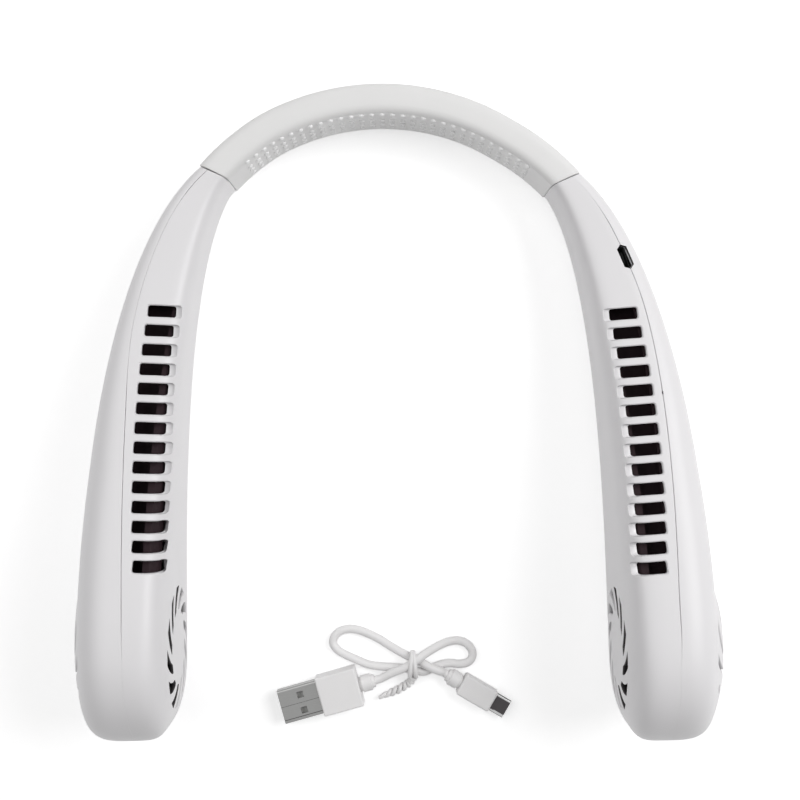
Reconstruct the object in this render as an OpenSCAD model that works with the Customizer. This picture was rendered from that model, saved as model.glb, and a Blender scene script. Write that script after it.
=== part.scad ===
// Bladeless neck fan: a soft neck band carries two hollow arms, each with a blower in its head
// The fan lies flat with its air slots up: +X to its right, +Y to the back of the neck, +Z up

/* [Fan] */
// Length from the back of the neck to the tips of the heads
overall_l = 218; // [200:1:240]
// Half of the distance between the middles of the two heads
head_x = 88; // [80:1:100]
// Turn of the soft band as the fan lies, which sets one arm lower than the other, in degrees
lie_turn = 2.5; // [0:0.5:4]

/* [Neck band] */
// Radius of the band's middle line
band_r = 80; // [72:1:88]
// Thickness of the band
band_t = 10.4; // [9:0.1:12]
// Height of the band
band_h = 28; // [22:1:32]
// Corner radius of the band
band_corner = 3; // [2:0.5:4]
// Angle from the middle of the band to each arm, in degrees
band_half = 48; // [42:1:54]
// Angle from the middle of the band to each place where it bends, in degrees
bend_half = 30; // [22:1:34]
// Clearance at the bends
bend_gap = 0.3; // [0.2:0.05:0.5]
// Wall of the silicone sleeve at its flat sides
sleeve_wall = 2.2; // [1.6:0.1:2.6]
// Diameter of the flexible core
core_d = 5; // [3:0.5:5.5]
// Diameter of each wire in the band
wire_d = 1.6; // [1:0.2:2]

/* [Arms] */
// Diameter of the round head
head_d = 60; // [56:1:66]
// Thickness of the head between its two flat sides
head_t = 30.8; // [29:0.2:34]
// Wall of the shells
wall = 1.8; // [1.4:0.1:2.2]
// Thickness of the end wall that holds the band
end_wall = 3; // [2:0.5:5]
// Straight pull of the arm's curve where it leaves the band
start_pull = 40; // [30:1:50]
// Straight pull of the arm's curve where it meets the head
head_pull = 30; // [20:1:40]

/* [Air slots] */
// Number of slots in each arm
slot_count = 14; // [8:1:15]
// Distance from one slot to the next
slot_pitch = 6.33; // [5.4:0.1:6.6]
// Height of each slot along the arm
slot_h = 3.9; // [2.5:0.1:4.5]
// Width of the first slot, next to the band
slot_w_first = 9; // [7:0.5:10]
// Width of the last slot, next to the head
slot_w_last = 10.2; // [8:0.5:12]
// Corner radius of the slots
slot_corner = 0.9; // [0.4:0.1:1.2]
// Distance from the band's end to the first slot
slot_start = 49.4; // [45:0.2:54]
// Length of the shallow ledge beside each slot
ledge_l = 2.6; // [1:0.2:3]
// Depth of the ledge
ledge_depth = 0.9; // [0.4:0.1:1.2]

/* [Air inlets] */
// Number of swirl slots in each inlet
swirl_count = 12; // [8:1:16]
// Inner radius of the swirl slots
swirl_r_in = 7; // [6:0.5:9]
// Outer radius of the swirl slots
swirl_r_out = 20.5; // [18:0.5:22]
// Radius of the raised outer grille
grille_r = 25; // [23:0.5:26]
// Rise of the outer grille above the shell
grille_rise = 3.7; // [2:0.1:4.5]
// Thickness of the outer grille
grille_t = 1.8; // [1.2:0.1:2.4]

/* [Blower] */
// Distance from the head's rim to the blower wheel
wheel_margin = 10; // [9:0.5:13]
// Number of blades on the wheel
blade_count = 19; // [13:2:25]
// Thickness of each blade
blade_t = 0.8; // [0.6:0.1:1.2]
// Radial depth of the blades
blade_depth = 4; // [3:0.5:5]
// Radius of the motor's rotor cup
cup_r = 10.4; // [9:0.2:11]
// Radius of the motor shaft
shaft_r = 1; // [0.75:0.05:1.25]
// Running clearance between the shaft and its bearing tube
shaft_gap = 0.05; // [0.02:0.01:0.1]
// Air gap between the stator and the magnet
motor_gap = 0.5; // [0.3:0.05:0.8]

/* [Power] */
// Diameter of the battery cell
cell_d = 14.2; // [12:0.1:15]
// Length of the battery cell
cell_l = 50; // [40:1:56]
// Diameter of the power button
button_d = 7; // [5:0.5:8]
// Travel of the power button
button_travel = 0.5; // [0.3:0.1:0.8]
// Side clearance of the power button
button_gap = 0.2; // [0.1:0.05:0.4]
// Diameter of each battery light
light_d = 1.8; // [1:0.2:2.4]

/* [Cable] */
// Diameter of the cord
cord_d = 3; // [2.4:0.1:3.4]
// Width of the USB-A plug
usb_a_w = 12; // [11.8:0.1:12.2]
// Length of the plug's metal shell that stands out
usb_a_l = 14; // [12:0.5:18]
// Thickness of the USB-A plug
usb_a_t = 4.5; // [4.3:0.1:4.7]
// Width of the micro-USB plug
micro_w = 6.85; // [6.8:0.05:7.4]
// Thickness of the micro-USB plug
micro_t = 1.8; // [1.8:0.05:1.9]

/* [Hidden] */

// Overrun of every cut past the face that it starts from
over = 1;
// Roundness of exact curves and of cutters with flat faces
fine = 96;
coarse = 32;
half_turn = 180;
quarter = 90;

// Colours as they lie in soft light
shell_white = [0.92, 0.915, 0.925];
sleeve_white = [0.88, 0.88, 0.87];
duct_black = [0.07, 0.06, 0.06];
steel = [0.72, 0.72, 0.74];
copper = [0.78, 0.45, 0.25];
board_green = [0.1, 0.35, 0.2];

// Curves
function mix(a, b, t) = a + (b - a) * t;
function bez(p, t) = pow(1 - t, 3) * p[0] + 3 * pow(1 - t, 2) * t * p[1]
    + 3 * (1 - t) * t * t * p[2] + t * t * t * p[3];
function bez_slope(p, t) = 3 * (pow(1 - t, 2) * (p[1] - p[0]) + 2 * (1 - t) * t * (p[2] - p[1])
    + t * t * (p[3] - p[2]));
function unit(v) = v / norm(v);
function power(c, e) = sign(c) * pow(abs(c), 2 / e);

// Neck band
band_cy = overall_l / 2 - band_t / 2 - band_r;
band_end = [band_r * sin(band_half), band_cy + band_r * cos(band_half)];
bend_at = [band_r * sin(bend_half), band_cy + band_r * cos(bend_half)];
band_mid = band_h / 2;
knuckle_r = band_t / 2;
// Solid length of sleeve before each bend, as an angle
stop_half = bend_half - (knuckle_r + sleeve_wall) / band_r * half_turn / PI;
restart_half = bend_half + (knuckle_r + bend_gap + sleeve_wall) / band_r * half_turn / PI;
hollow_t = band_t - 2 * sleeve_wall;
hollow_h = band_h - 4 * sleeve_wall;
wire_z = hollow_h / 2 - wire_d;

// How the fan lies: the band turns about the line between its bends and carries the arms along
lie_shift = [bend_at[0] * (cos(lie_turn) - 1), -bend_at[0] * sin(lie_turn), 0];
lie_y = (bend_at[0] * sin(lie_turn) + (bend_at[1] - band_cy) * (1 - cos(lie_turn))) / 2;

// Arm curve, seen from above, for the right arm
head_r = head_d / 2;
head_y = -overall_l / 2 + head_r;
arm_path = [
    band_end,
    band_end + start_pull * [cos(band_half), -sin(band_half)],
    [head_x, head_y + head_pull],
    [head_x, head_y]
];
// Half thickness along the arm: at the band, two handles, and at the head
half_shares = [0, 0.86, 1.04, 1];
function half_at(k) = k == 0 ? band_t / 2 : half_shares[k] * head_t / 2;
arm_halves = [for (k = [0:3]) half_at(k)];
// Height of the slotted face and of the underside along the arm
top_shares = [0, 0.45, 1, 1];
arm_tops = [for (k = [0:3]) k == 0 ? band_h : top_shares[k] * head_d];
low_shares = [0, 0.05, 0, 0];
arm_lows = low_shares * head_d;
// Roundness of the section: squarer on the inner side, rounder on the outer side of the head
square_e = 4.5;
round_e = 2.6;
round_reach_share = 0.6;
// Roundness of the head's end seen from above, on its inner and its outer side
cap_inner_e = 2.9;
cap_outer_e = 4.5;

function cap_turn(t) = (t - 1) * quarter;
function arm_pos(t, inset = 0) = t <= 1 ? bez(arm_path, t)
    : arm_path[3] - [0, (head_r - inset) * sin(cap_turn(t))];
function arm_dir(t) = t < 1 ? unit(bez_slope(arm_path, t)) : [0, -1];
function arm_out(t) = let (d = arm_dir(t)) [-d[1], d[0]];
function arm_half(t, inset = 0, e = cap_inner_e) = t <= 1 ? bez(arm_halves, t) - inset
    : (arm_halves[3] - inset) * pow(1 - pow(sin(cap_turn(t)), e), 1 / e);
function arm_top(t, inset = 0) = t <= 1 ? bez(arm_tops, t) - inset
    : head_r + (head_r - inset) * cos(cap_turn(t));
function arm_low(t, inset = 0) = t <= 1 ? bez(arm_lows, t) + inset
    : head_r - (head_r - inset) * cos(cap_turn(t));
function outer_e(t) = mix(square_e, round_e, min(1, t / round_reach_share));

// Points of the section across the arm at one station
section_steps = 28;
function section(t, inset = 0, steps = section_steps) =
    let (c = arm_pos(t, inset), o = arm_out(t),
        zt = arm_top(t, inset), zb = arm_low(t, inset), m = (zt + zb) / 2, b = (zt - zb) / 2)
    [for (k = [0:steps - 1])
        let (f = k * 360 / steps, outer = cos(f) > 0, e = outer ? outer_e(t) : square_e,
            a = arm_half(t, inset, outer ? cap_outer_e : cap_inner_e),
            n = a * power(cos(f), e), z = m + b * power(sin(f), e))
        [c[0] + o[0] * n, c[1] + o[1] * n, z]];

// Stations along the arm up to the head, and round the end of the head
arm_stations = 11;
cap_shares = [0.2, 0.4, 0.58, 0.74, 0.87, 0.95, 0.99];
function stations(first) = concat([for (k = [0:arm_stations]) mix(first, 1, k / arm_stations)],
    [for (s = cap_shares) 1 + s]);

module swept(rings) {
    n = len(rings[0]);
    last = len(rings) - 1;
    polyhedron(
        points = [for (r = rings) each r],
        faces = concat(
            [[for (k = [0:n - 1]) k]],
            [for (j = [0:last - 1], k = [0:n - 1])
                let (a = j * n + k, b = j * n + (k + 1) % n) [a, a + n, b + n, b]],
            [[for (k = [n - 1:-1:0]) last * n + k]]),
        convexity = 6);
}

// The arm as one solid, inset from its outer surface, from one station to the tip
module arm_body(inset = 0, first = 0) {
    swept([for (t = stations(first)) section(t, inset)]);
}

// Parting line of the shells, measured outwards from the middle of the arm
seam_shares = [0.1, 0.55, 0.1, -0.045];
function seam_n(t) = bez(seam_shares, min(t, 1)) * head_t / 2;
function seam_at(t) = arm_pos(t) + seam_n(t) * arm_out(t);
seam_steps = 16;
seam_ts = [for (k = [0:seam_steps]) k / seam_steps];

// Everything on the outer side of the seam
module outer_side() {
    far = head_t * 2;
    start = -over * arm_dir(0);
    finish = [0, -head_r - over];
    line = concat([seam_at(0) + start], [for (k = [1:seam_steps]) seam_at(seam_ts[k])], [seam_at(1) + finish]);
    back = concat([arm_pos(1) + far * arm_out(1) + finish],
        [for (k = [seam_steps:-1:0]) arm_pos(seam_ts[k]) + far * arm_out(seam_ts[k])],
        [arm_pos(0) + far * arm_out(0) + start]);
    translate([0, 0, -over]) linear_extrude(head_d + 2 * over) polygon(concat(line, back));
}

// Distance along the arm, by short chords, and the station at a distance
chord_steps = 48;
chords = [for (k = [0:chord_steps - 1])
    norm(bez(arm_path, (k + 1) / chord_steps) - bez(arm_path, k / chord_steps))];
function run_to(k) = k == 0 ? 0 : run_to(k - 1) + chords[k - 1];
runs = [for (k = [0:chord_steps]) run_to(k)];
function station_at(s) = lookup(s, [for (k = [0:chord_steps]) [runs[k], k / chord_steps]]);

// Frame on the slotted face: X outwards, Y along the arm to the head, Z off the face
rim_share = 0.98;
function face_z(t, n) = let (m = (arm_top(t) + arm_low(t)) / 2, b = (arm_top(t) - arm_low(t)) / 2,
    e = n > 0 ? outer_e(t) : square_e, q = min(rim_share, abs(n) / arm_half(t)))
    m + b * pow(1 - pow(q, e), 1 / e);
module on_face(s, n = 0) {
    t = station_at(s);
    c = arm_pos(t) + n * arm_out(t);
    d = arm_dir(t);
    ds = slot_pitch / 2;
    rise = (arm_top(station_at(s + ds)) - arm_top(station_at(s - ds))) / (2 * ds);
    turn = atan2(d[1], d[0]);
    translate([c[0], c[1], face_z(t, n)]) rotate([0, 0, turn]) rotate([0, -atan(rise), 0])
        rotate([0, 0, quarter]) mirror([0, 1, 0]) children();
}

module rounded(w, h, r) {
    hull() for (x = [-1, 1], y = [-1, 1])
        translate([x * (w / 2 - r), y * (h / 2 - r)]) circle(r, $fn = 12);
}

// Air slots: an opening with a shallow ledge at its inner end
slot_offset_first_share = -0.16;
slot_offset_last_share = -0.52;
slot_tilt = 2.5;
slot_lip = 0.25;
module air_slots() {
    for (k = [0:slot_count - 1]) {
        q = k / (slot_count - 1);
        w = mix(slot_w_first, slot_w_last, q);
        n = mix(slot_offset_first_share, slot_offset_last_share, q) * head_t / 2;
        on_face(slot_start + k * slot_pitch, n) rotate([0, 0, slot_tilt]) {
            translate([0, 0, -2 * wall - over]) linear_extrude(2 * wall + 2 * over)
                rounded(w, slot_h, slot_corner);
            translate([-ledge_l / 2, 0, -ledge_depth]) linear_extrude(ledge_depth + over)
                rounded(w + ledge_l + 2 * slot_lip, slot_h + 2 * slot_lip, slot_corner);
        }
    }
}

// Head frame: Z outwards along the motor's axis, Y towards the band, X down
module at_head() {
    translate([head_x, head_y, head_r]) rotate([0, quarter, 0]) children();
}

// Swirl slots, as flat shapes
swirl_turn = 48;
swirl_fill_share = 0.56;
swirl_steps = 6;
function swirl_point(r, side, turn) =
    let (q = (r - swirl_r_in) / (swirl_r_out - swirl_r_in),
        f = turn * q + side * swirl_fill_share * half_turn / swirl_count)
    [r * cos(f), r * sin(f)];
module swirl(turn = swirl_turn) {
    radii = [for (j = [0:swirl_steps]) mix(swirl_r_in, swirl_r_out, j / swirl_steps)];
    for (k = [0:swirl_count - 1]) rotate(k * 360 / swirl_count)
        polygon(concat([for (j = [0:swirl_steps]) swirl_point(radii[j], -1, turn)],
            [for (j = [swirl_steps:-1:0]) swirl_point(radii[j], 1, turn)]));
}

// Charging port: a six-sided opening on the seam, and the socket under it
port_run = 32;
port_l = 8.4;
port_w = 3.1;
port_point = 1.1;
port_t = station_at(port_run);
module port_shape(grow = 0) {
    l = port_l / 2 + grow;
    w = port_w / 2 + grow;
    polygon([[-w, -l + port_point], [0, -l], [w, -l + port_point],
        [w, l - port_point], [0, l], [-w, l - port_point]]);
}
module at_port() {
    on_face(port_run, seam_n(port_t)) rotate([0, 0, seam_lean]) children();
}
lean_share = 0.02;
seam_lean = let (a = seam_at(port_t - lean_share), b = seam_at(port_t + lean_share),
    d = unit(b - a), m = arm_dir(port_t))
    atan2(m[0] * d[1] - m[1] * d[0], m[0] * d[0] + m[1] * d[1]);

// Circuit board frame: X along the arm, Y outwards, Z up, with the board upright inside the arm
board_run = 33;
board_n = 1.6;
board_l = 20;
board_t = 1;
board_low = 6;
board_st = station_at(board_run);
function board_xn(run, n) = let (t = station_at(run), d = arm_dir(board_st), o = arm_out(board_st),
    v = arm_pos(t) + n * arm_out(t) - arm_pos(board_st)) [v[0] * d[0] + v[1] * d[1], v[0] * o[0] + v[1] * o[1]];
module at_board() {
    c = arm_pos(board_st);
    d = arm_dir(board_st);
    translate([c[0], c[1], 0]) rotate([0, 0, atan2(d[1], d[0])]) children();
}

// Power button and battery lights on the outer side of the right arm
button_run = 38;
light_first = 8;
light_pitch = 3;
light_count = 3;
side_z_share = 0.23;
side_z = head_d * side_z_share;
function side_n(run) = arm_half(station_at(run));
module at_side(run) {
    p = board_xn(run, side_n(run));
    at_board() translate([p[0], p[1], side_z]) rotate([-quarter, 0, 0]) children();
}
function light_run(k) = button_run - light_first - k * light_pitch;

// Core and wire passages through the arm's end wall
module at_arm_end() {
    translate([band_end[0], band_end[1], band_mid]) rotate([0, 0, -band_half]) rotate([0, quarter, 0])
        children();
}
passage_sides = 20;
module end_passages(d, w) {
    at_arm_end() translate([0, 0, -over]) {
        cylinder(h = end_wall + over + end_wall, d = d, $fn = passage_sides);
        for (x = [-wire_z, wire_z]) translate([x, 0, 0])
            cylinder(h = end_wall + over + end_wall, d = w, $fn = passage_sides);
    }
}

end_t = station_at(end_wall);
module hollow_arm() {
    difference() {
        arm_body();
        arm_body(wall, end_t);
        end_passages(core_d + 2 * fit_gap, wire_d + 2 * fit_gap);
    }
}

// Right-hand arm pieces; the left ones are their mirror images
module inner_shell(port = false) {
    color(shell_white) difference() {
        hollow_arm();
        outer_side();
        air_slots();
        at_head() translate([0, 0, -head_t / 2 - over]) linear_extrude(wall + 2 * over) swirl();
        if (port) at_port() translate([0, 0, -2 * wall]) linear_extrude(3 * wall) port_shape();
    }
}

// Air inlet in the outer shell under the domed grille
module outer_shell(port = false) {
    color(shell_white) difference() {
        intersection() {
            hollow_arm();
            outer_side();
        }
        at_head() cylinder(h = head_t, r = grille_r - grille_seat, $fn = coarse * 2);
        if (port) {
            at_port() translate([0, 0, -2 * wall]) linear_extrude(3 * wall) port_shape();
            at_side(button_run) translate([0, 0, -2 * wall])
                cylinder(h = 3 * wall, d = button_d + 2 * button_gap, $fn = coarse);
            for (k = [0:light_count - 1]) at_side(light_run(k)) translate([0, 0, -2 * wall])
                cylinder(h = 3 * wall, d = light_d + 2 * fit_gap, $fn = coarse);
        }
    }
}
fit_gap = 0.15;
grille_seat = 2.2;

// Domed outer grille with its own swirl slots, seated on the outer shell round its inlet
dome_along_share = 1.65;
dome_across_share = 1.077;
dome_sides = 48;
module dome(inset) {
    scale([head_r * dome_across_share - inset, head_r * dome_along_share - inset,
        head_t / 2 + grille_rise - inset]) sphere(1, $fn = dome_sides);
}
module outer_grille() {
    color(shell_white) difference() {
        at_head() difference() {
            intersection() {
                dome(0);
                cylinder(h = head_t, r = grille_r, $fn = fine);
            }
            dome(grille_t);
            linear_extrude(head_t) swirl(-swirl_turn);
        }
        arm_body();
    }
}

// Dark duct under the slots: a channel that is open towards them and towards the blower
duct_gap = 0.4;
duct_t = 1;
duct_depth = 9;
duct_from = 45.5;
duct_to = 136;
duct_sides = 20;
duct_steps = 6;
module duct_body(inset, from, to) {
    swept([for (k = [0:duct_steps]) section(station_at(mix(from, to, k / duct_steps)), inset, duct_sides)]);
}
// A band of the arm's length between two offsets across it, above a drop from the slotted face
module duct_band(from, to, drop, left, right) {
    swept([for (k = [0:duct_steps]) let (q = k / duct_steps, t = station_at(mix(from, to, q)),
        c = arm_pos(t), o = arm_out(t), z = arm_top(t) - drop,
        a = mix(left[0], left[1], q), b = mix(right[0], right[1], q)) [
            [c[0] + o[0] * b, c[1] + o[1] * b, z], [c[0] + o[0] * b, c[1] + o[1] * b, z + head_d],
            [c[0] + o[0] * a, c[1] + o[1] * a, z + head_d], [c[0] + o[0] * a, c[1] + o[1] * a, z]]]);
}
function slot_n(q) = mix(slot_offset_first_share, slot_offset_last_share, q) * head_t / 2;
module air_duct() {
    drop = wall + duct_gap + duct_depth;
    wide = [-head_t, -head_t];
    color(duct_black) difference() {
        intersection() {
            duct_body(wall + duct_gap, duct_from, duct_to);
            duct_band(duct_from - over, duct_to + over, drop, wide, -wide);
        }
        intersection() {
            duct_body(wall + duct_gap + duct_t, duct_from + duct_t, duct_to + over);
            duct_band(duct_from, duct_to + 2 * over, drop - duct_t, wide, -wide);
        }
        duct_band(duct_from + duct_t, duct_to + 3 * over, wall + duct_gap + 2 * duct_t,
            [slot_n(0) - slot_w_first / 2, slot_n(1) - slot_w_last / 2],
            [slot_n(0) + slot_w_first / 2, slot_n(1) + slot_w_last / 2]);
    }
}

// Blower: heights are measured outwards from the middle of the head
shell_in = -head_t / 2 + wall;
base_t = 1.2;
base_top = shell_in + base_t;
wheel_r = head_r - wheel_margin;
wheel_lift = 4;
wheel_low = shell_in + wheel_lift;
wheel_high = head_t / 4;
plate_z = -1;
plate_t = 1;
cup_t = 0.7;
cup_top = plate_z - plate_t;
cup_low = base_top + motor_gap + cup_t;
magnet_t = 1.5;
stator_r = cup_r - cup_t - magnet_t - motor_gap;
tube_r = 2.6;
stator_lift = 2;
stator_low = base_top + stator_lift;
stator_h = 4.5;
pole_count = 6;
tooth_w = 1.2;
yoke_t = 1;
shoe_t = 1;
shoe_w = 5.2;
coil_w = 2.6;
coil_gap = 0.1;
coil_over = 0.6;

scroll_gap = 2;
scroll_skirt = 0.6;
module fan_scroll() {
    r = wheel_r + scroll_gap;
    color(duct_black) at_head() translate([0, 0, wheel_low - scroll_skirt])
        linear_extrude(wheel_high - wheel_low + scroll_skirt) difference() {
            circle(r + duct_t, $fn = fine);
            circle(r, $fn = fine);
            translate([-2 * r, 0]) square([4 * r, 2 * r]);
        }
}

cell_run = 86;
cell_gap = 0.5;
cell_tip = 1;
module battery() {
    t = station_at(cell_run);
    c = arm_pos(t);
    d = arm_dir(t);
    color([0.2, 0.45, 0.7]) translate([c[0], c[1], arm_low(t) + wall + cell_gap + cell_d / 2])
        rotate([0, 0, atan2(d[1], d[0])]) rotate([0, quarter, 0]) {
            translate([0, 0, -cell_l / 2]) cylinder(h = cell_l, d = cell_d, $fn = fine);
            translate([0, 0, cell_l / 2]) cylinder(h = cell_tip, d = cell_d / 3, $fn = fine);
        }
}

module motor_base() {
    color([0.85, 0.85, 0.83]) at_head() difference() {
        union() {
            translate([0, 0, shell_in]) cylinder(h = base_t, r = cup_r - cup_t, $fn = fine);
            translate([0, 0, shell_in])
                cylinder(h = plate_z - plate_t - cup_t - motor_gap - shell_in, r = tube_r, $fn = fine);
        }
        translate([0, 0, shell_in + base_t / 2]) cylinder(h = head_t, r = shaft_r + shaft_gap, $fn = fine);
    }
}

module stator_core() {
    color(steel) at_head() translate([0, 0, stator_low]) linear_extrude(stator_h) difference() {
        union() {
            circle(tube_r + yoke_t, $fn = fine);
            for (k = [0:pole_count - 1]) rotate(k * 360 / pole_count) {
                translate([0, -tooth_w / 2]) square([stator_r - tooth_w / 2, tooth_w]);
                intersection() {
                    difference() {
                        circle(stator_r, $fn = fine);
                        circle(stator_r - shoe_t, $fn = fine);
                    }
                    translate([0, -shoe_w / 2]) square([stator_r, shoe_w]);
                }
            }
        }
        circle(tube_r, $fn = fine);
    }
}

module motor_coils() {
    color(copper) at_head() for (k = [0:pole_count - 1]) rotate([0, 0, k * 360 / pole_count])
        translate([tube_r + yoke_t + coil_gap, 0, stator_low]) difference() {
            translate([0, -coil_w / 2, -coil_over])
                cube([stator_r - tube_r - yoke_t - shoe_t - 3 * coil_gap, coil_w, stator_h + 2 * coil_over]);
            translate([-over, -tooth_w / 2, 0]) cube([stator_r, tooth_w, stator_h]);
        }
}

module rotor_cup() {
    color(steel) at_head() {
        difference() {
            translate([0, 0, cup_low]) cylinder(h = cup_top - cup_low, r = cup_r, $fn = fine);
            translate([0, 0, cup_low - over])
                cylinder(h = cup_top - cup_t - cup_low + over, r = cup_r - cup_t, $fn = fine);
        }
        translate([0, 0, shell_in + base_t / 2 + motor_gap])
            cylinder(h = cup_top - shell_in - base_t, r = shaft_r, $fn = fine);
    }
}

module ring_magnet() {
    color([0.25, 0.25, 0.27]) at_head() translate([0, 0, cup_low + motor_gap]) difference() {
        cylinder(h = cup_top - cup_t - cup_low - 2 * motor_gap, r = cup_r - cup_t, $fn = fine);
        translate([0, 0, -over]) cylinder(h = head_t, r = cup_r - cup_t - magnet_t, $fn = fine);
    }
}

// Blower wheel: hub over the rotor cup, a plate, curved blades and a ring at each end
hub_t = 1.2;
blade_lean = 35;
ring_t = 0.8;
module blade() {
    steps = 3;
    r0 = wheel_r - blade_depth;
    function edge(j) = let (q = j / steps, r = mix(r0, wheel_r - ring_t / 2, q), f = blade_lean * q * q / 2)
        [r * cos(f), r * sin(f)];
    polygon(concat([for (j = [0:steps]) edge(j) + [0, -blade_t / 2]],
        [for (j = [steps:-1:0]) edge(j) + [0, blade_t / 2]]));
}
module blower_wheel() {
    color([0.9, 0.9, 0.9]) at_head() {
        difference() {
            translate([0, 0, cup_low]) cylinder(h = cup_top + hub_t - cup_low, r = cup_r + hub_t, $fn = fine);
            translate([0, 0, cup_low - over]) cylinder(h = cup_top - cup_low + over, r = cup_r, $fn = fine);
        }
        translate([0, 0, cup_top + hub_t - plate_t]) difference() {
            cylinder(h = plate_t, r = wheel_r - blade_depth / 2, $fn = fine);
            translate([0, 0, -over]) cylinder(h = plate_t + 2 * over, r = cup_r + hub_t / 2, $fn = fine);
        }
        translate([0, 0, wheel_low]) linear_extrude(wheel_high - wheel_low)
            for (k = [0:blade_count - 1]) rotate(k * 360 / blade_count) blade();
        for (z = [wheel_low, wheel_high - ring_t]) translate([0, 0, z]) linear_extrude(ring_t) difference() {
            circle(wheel_r, $fn = fine);
            circle(wheel_r - 3 * ring_t, $fn = fine);
        }
    }
}

// Three screws hold the motor base to the inner shell
screw_count = 3;
screw_head_r = 1.3;
screw_head_h = 0.7;
screw_ring = cup_r - 2 * screw_head_r;
module motor_screws() {
    color(steel) at_head() for (k = [0:screw_count - 1]) rotate([0, 0, k * 360 / screw_count])
        translate([screw_ring, 0, base_top]) cylinder(h = screw_head_h, r = screw_head_r, $fn = coarse);
}

module on_right() {
    translate([0, lie_y, 0] + lie_shift) children();
}
module on_left() {
    translate([0, lie_y, 0] - lie_shift) mirror([1, 0, 0]) children();
}
module on_band() {
    translate([0, lie_y + bend_at[1], 0]) rotate([0, 0, -lie_turn]) translate([0, -bend_at[1], 0]) children();
}

// Neck band pieces
module band_profile(t, h, r) {
    square([t - 2 * r, h], center = true);
    square([t, h - 2 * r], center = true);
    for (x = [-1, 1], y = [-1, 1]) translate([x * (t / 2 - r), y * (h / 2 - r)]) circle(r, $fn = coarse);
}
// Ring sector about the band's centre, between two angles from its middle, clockwise positive
module band_arc(from, to) {
    translate([0, band_cy, band_mid]) rotate([0, 0, quarter - to])
        rotate_extrude(angle = to - from, $fn = fine * 2) translate([band_r, 0]) children();
}
// Round end of the middle length, a little slimmer than the band so that their sides part cleanly
knuckle_relief = 0.1;
module knuckle_puck() {
    translate([bend_at[0], bend_at[1], band_mid]) rotate_extrude($fn = fine) intersection() {
        band_profile(band_t - 2 * knuckle_relief, band_h - 2 * knuckle_relief, band_corner);
        translate([0, -band_h]) square([band_t, 2 * band_h]);
    }
}
module neck_sleeve_middle() {
    color(sleeve_white) on_band() {
        difference() {
            union() {
                band_arc(-bend_half, bend_half) band_profile(band_t, band_h, band_corner);
                knuckle_puck();
                mirror([1, 0, 0]) knuckle_puck();
            }
            band_arc(-stop_half, stop_half) band_profile(hollow_t, hollow_h, band_corner / 2);
            wire_pair(-bend_half - knuckle_r, bend_half + knuckle_r);
        }
    }
}
module neck_sleeve_side() {
    color(sleeve_white) difference() {
        band_arc(bend_half, band_half) band_profile(band_t, band_h, band_corner);
        band_arc(restart_half, band_half + over) band_profile(hollow_t, hollow_h, band_corner / 2);
        translate([bend_at[0], bend_at[1], -over])
            cylinder(h = band_h + 2 * over, r = knuckle_r + bend_gap, $fn = fine);
    }
}
anchor_l = 6;
anchor_h = 12;
anchor_t = 3;
// The core and the wires step down where they leave the band's curve
stem_step = 0.3;
module flex_core_middle() {
    color(steel) on_band() band_arc(-stop_half, stop_half) circle(d = core_d, $fn = fine);
}
module flex_core_side() {
    color(steel) {
        band_arc(restart_half, band_half) circle(d = core_d, $fn = fine);
        at_arm_end() {
            translate([0, 0, -over]) cylinder(h = end_wall + 2 * over, d = core_d - stem_step, $fn = fine);
            translate([-anchor_h / 2, -anchor_t / 2, end_wall]) cube([anchor_h, anchor_t, anchor_l]);
        }
    }
}
module wire_pair(from, to) {
    for (z = [-wire_z, wire_z]) translate([0, 0, z]) band_arc(from, to) circle(d = wire_d, $fn = coarse);
}
module band_wires_middle() {
    color([0.75, 0.1, 0.1]) on_band() wire_pair(-stop_half, stop_half);
}
module band_wires_side() {
    color([0.75, 0.1, 0.1]) {
        wire_pair(restart_half, band_half);
        at_arm_end() for (x = [-wire_z, wire_z]) translate([x, 0, -over])
            cylinder(h = 2 * end_wall + over, d = wire_d - stem_step, $fn = coarse);
    }
}

// Circuit board with its socket, switch, button and lights, in the right arm
module board_box(run, n, z, l, t, h) {
    p = board_xn(run, 0);
    at_board() translate([p[0] - l / 2, board_n + n, z]) cube([l, t, h]);
}
// The socket stays this far under the sloping face, and the rest of the board a step lower
roof_drop = 1.3;
board_step = 2.2;
board_top = face_z(port_t, seam_n(port_t)) - wall - roof_drop;
chip_l = 5;
chip_h = 4;
chip_t = 1.2;
chip_back = 3;
choke_l = 4.5;
choke_t = 2.2;
choke_ahead = 4;
choke_up = 6;
module circuit_board() {
    color(board_green) {
        board_box(board_run, 0, board_low, board_l, board_t, board_top - board_step - board_low);
        board_box(port_run, 0, board_low, socket_w, board_t, board_top - board_low);
        // Charge chip and choke on the board's inner face
        board_box(board_run - chip_back, -chip_t, board_low + chip_h, chip_l, chip_t, chip_h);
        board_box(board_run + choke_ahead, -choke_t, board_low + chip_h + choke_up, choke_l, choke_t, choke_l);
    }
}
socket_w = 7.5;
socket_t = 2.6;
socket_l = 5.5;
socket_skin = 0.3;
socket_back = 1;
socket_blade_t = 0.6;
module micro_usb_socket() {
    low = board_top - socket_l;
    color(steel) difference() {
        board_box(port_run, board_t, low, socket_w, socket_t, socket_l);
        board_box(port_run, board_t + socket_skin, low + socket_back, socket_w - 2 * socket_skin,
            socket_t - 2 * socket_skin, socket_l);
    }
    color(duct_black)
        board_box(port_run, board_t + socket_t / 2, low, socket_w / 2, socket_blade_t, socket_l - socket_back);
}
switch_w = 4.5;
switch_t = 2.4;
plunger_t = 0.6;
plunger_d = 2.4;
switch_slack = 0.1;
switch_top = board_n + board_t + switch_t + plunger_t;
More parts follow.
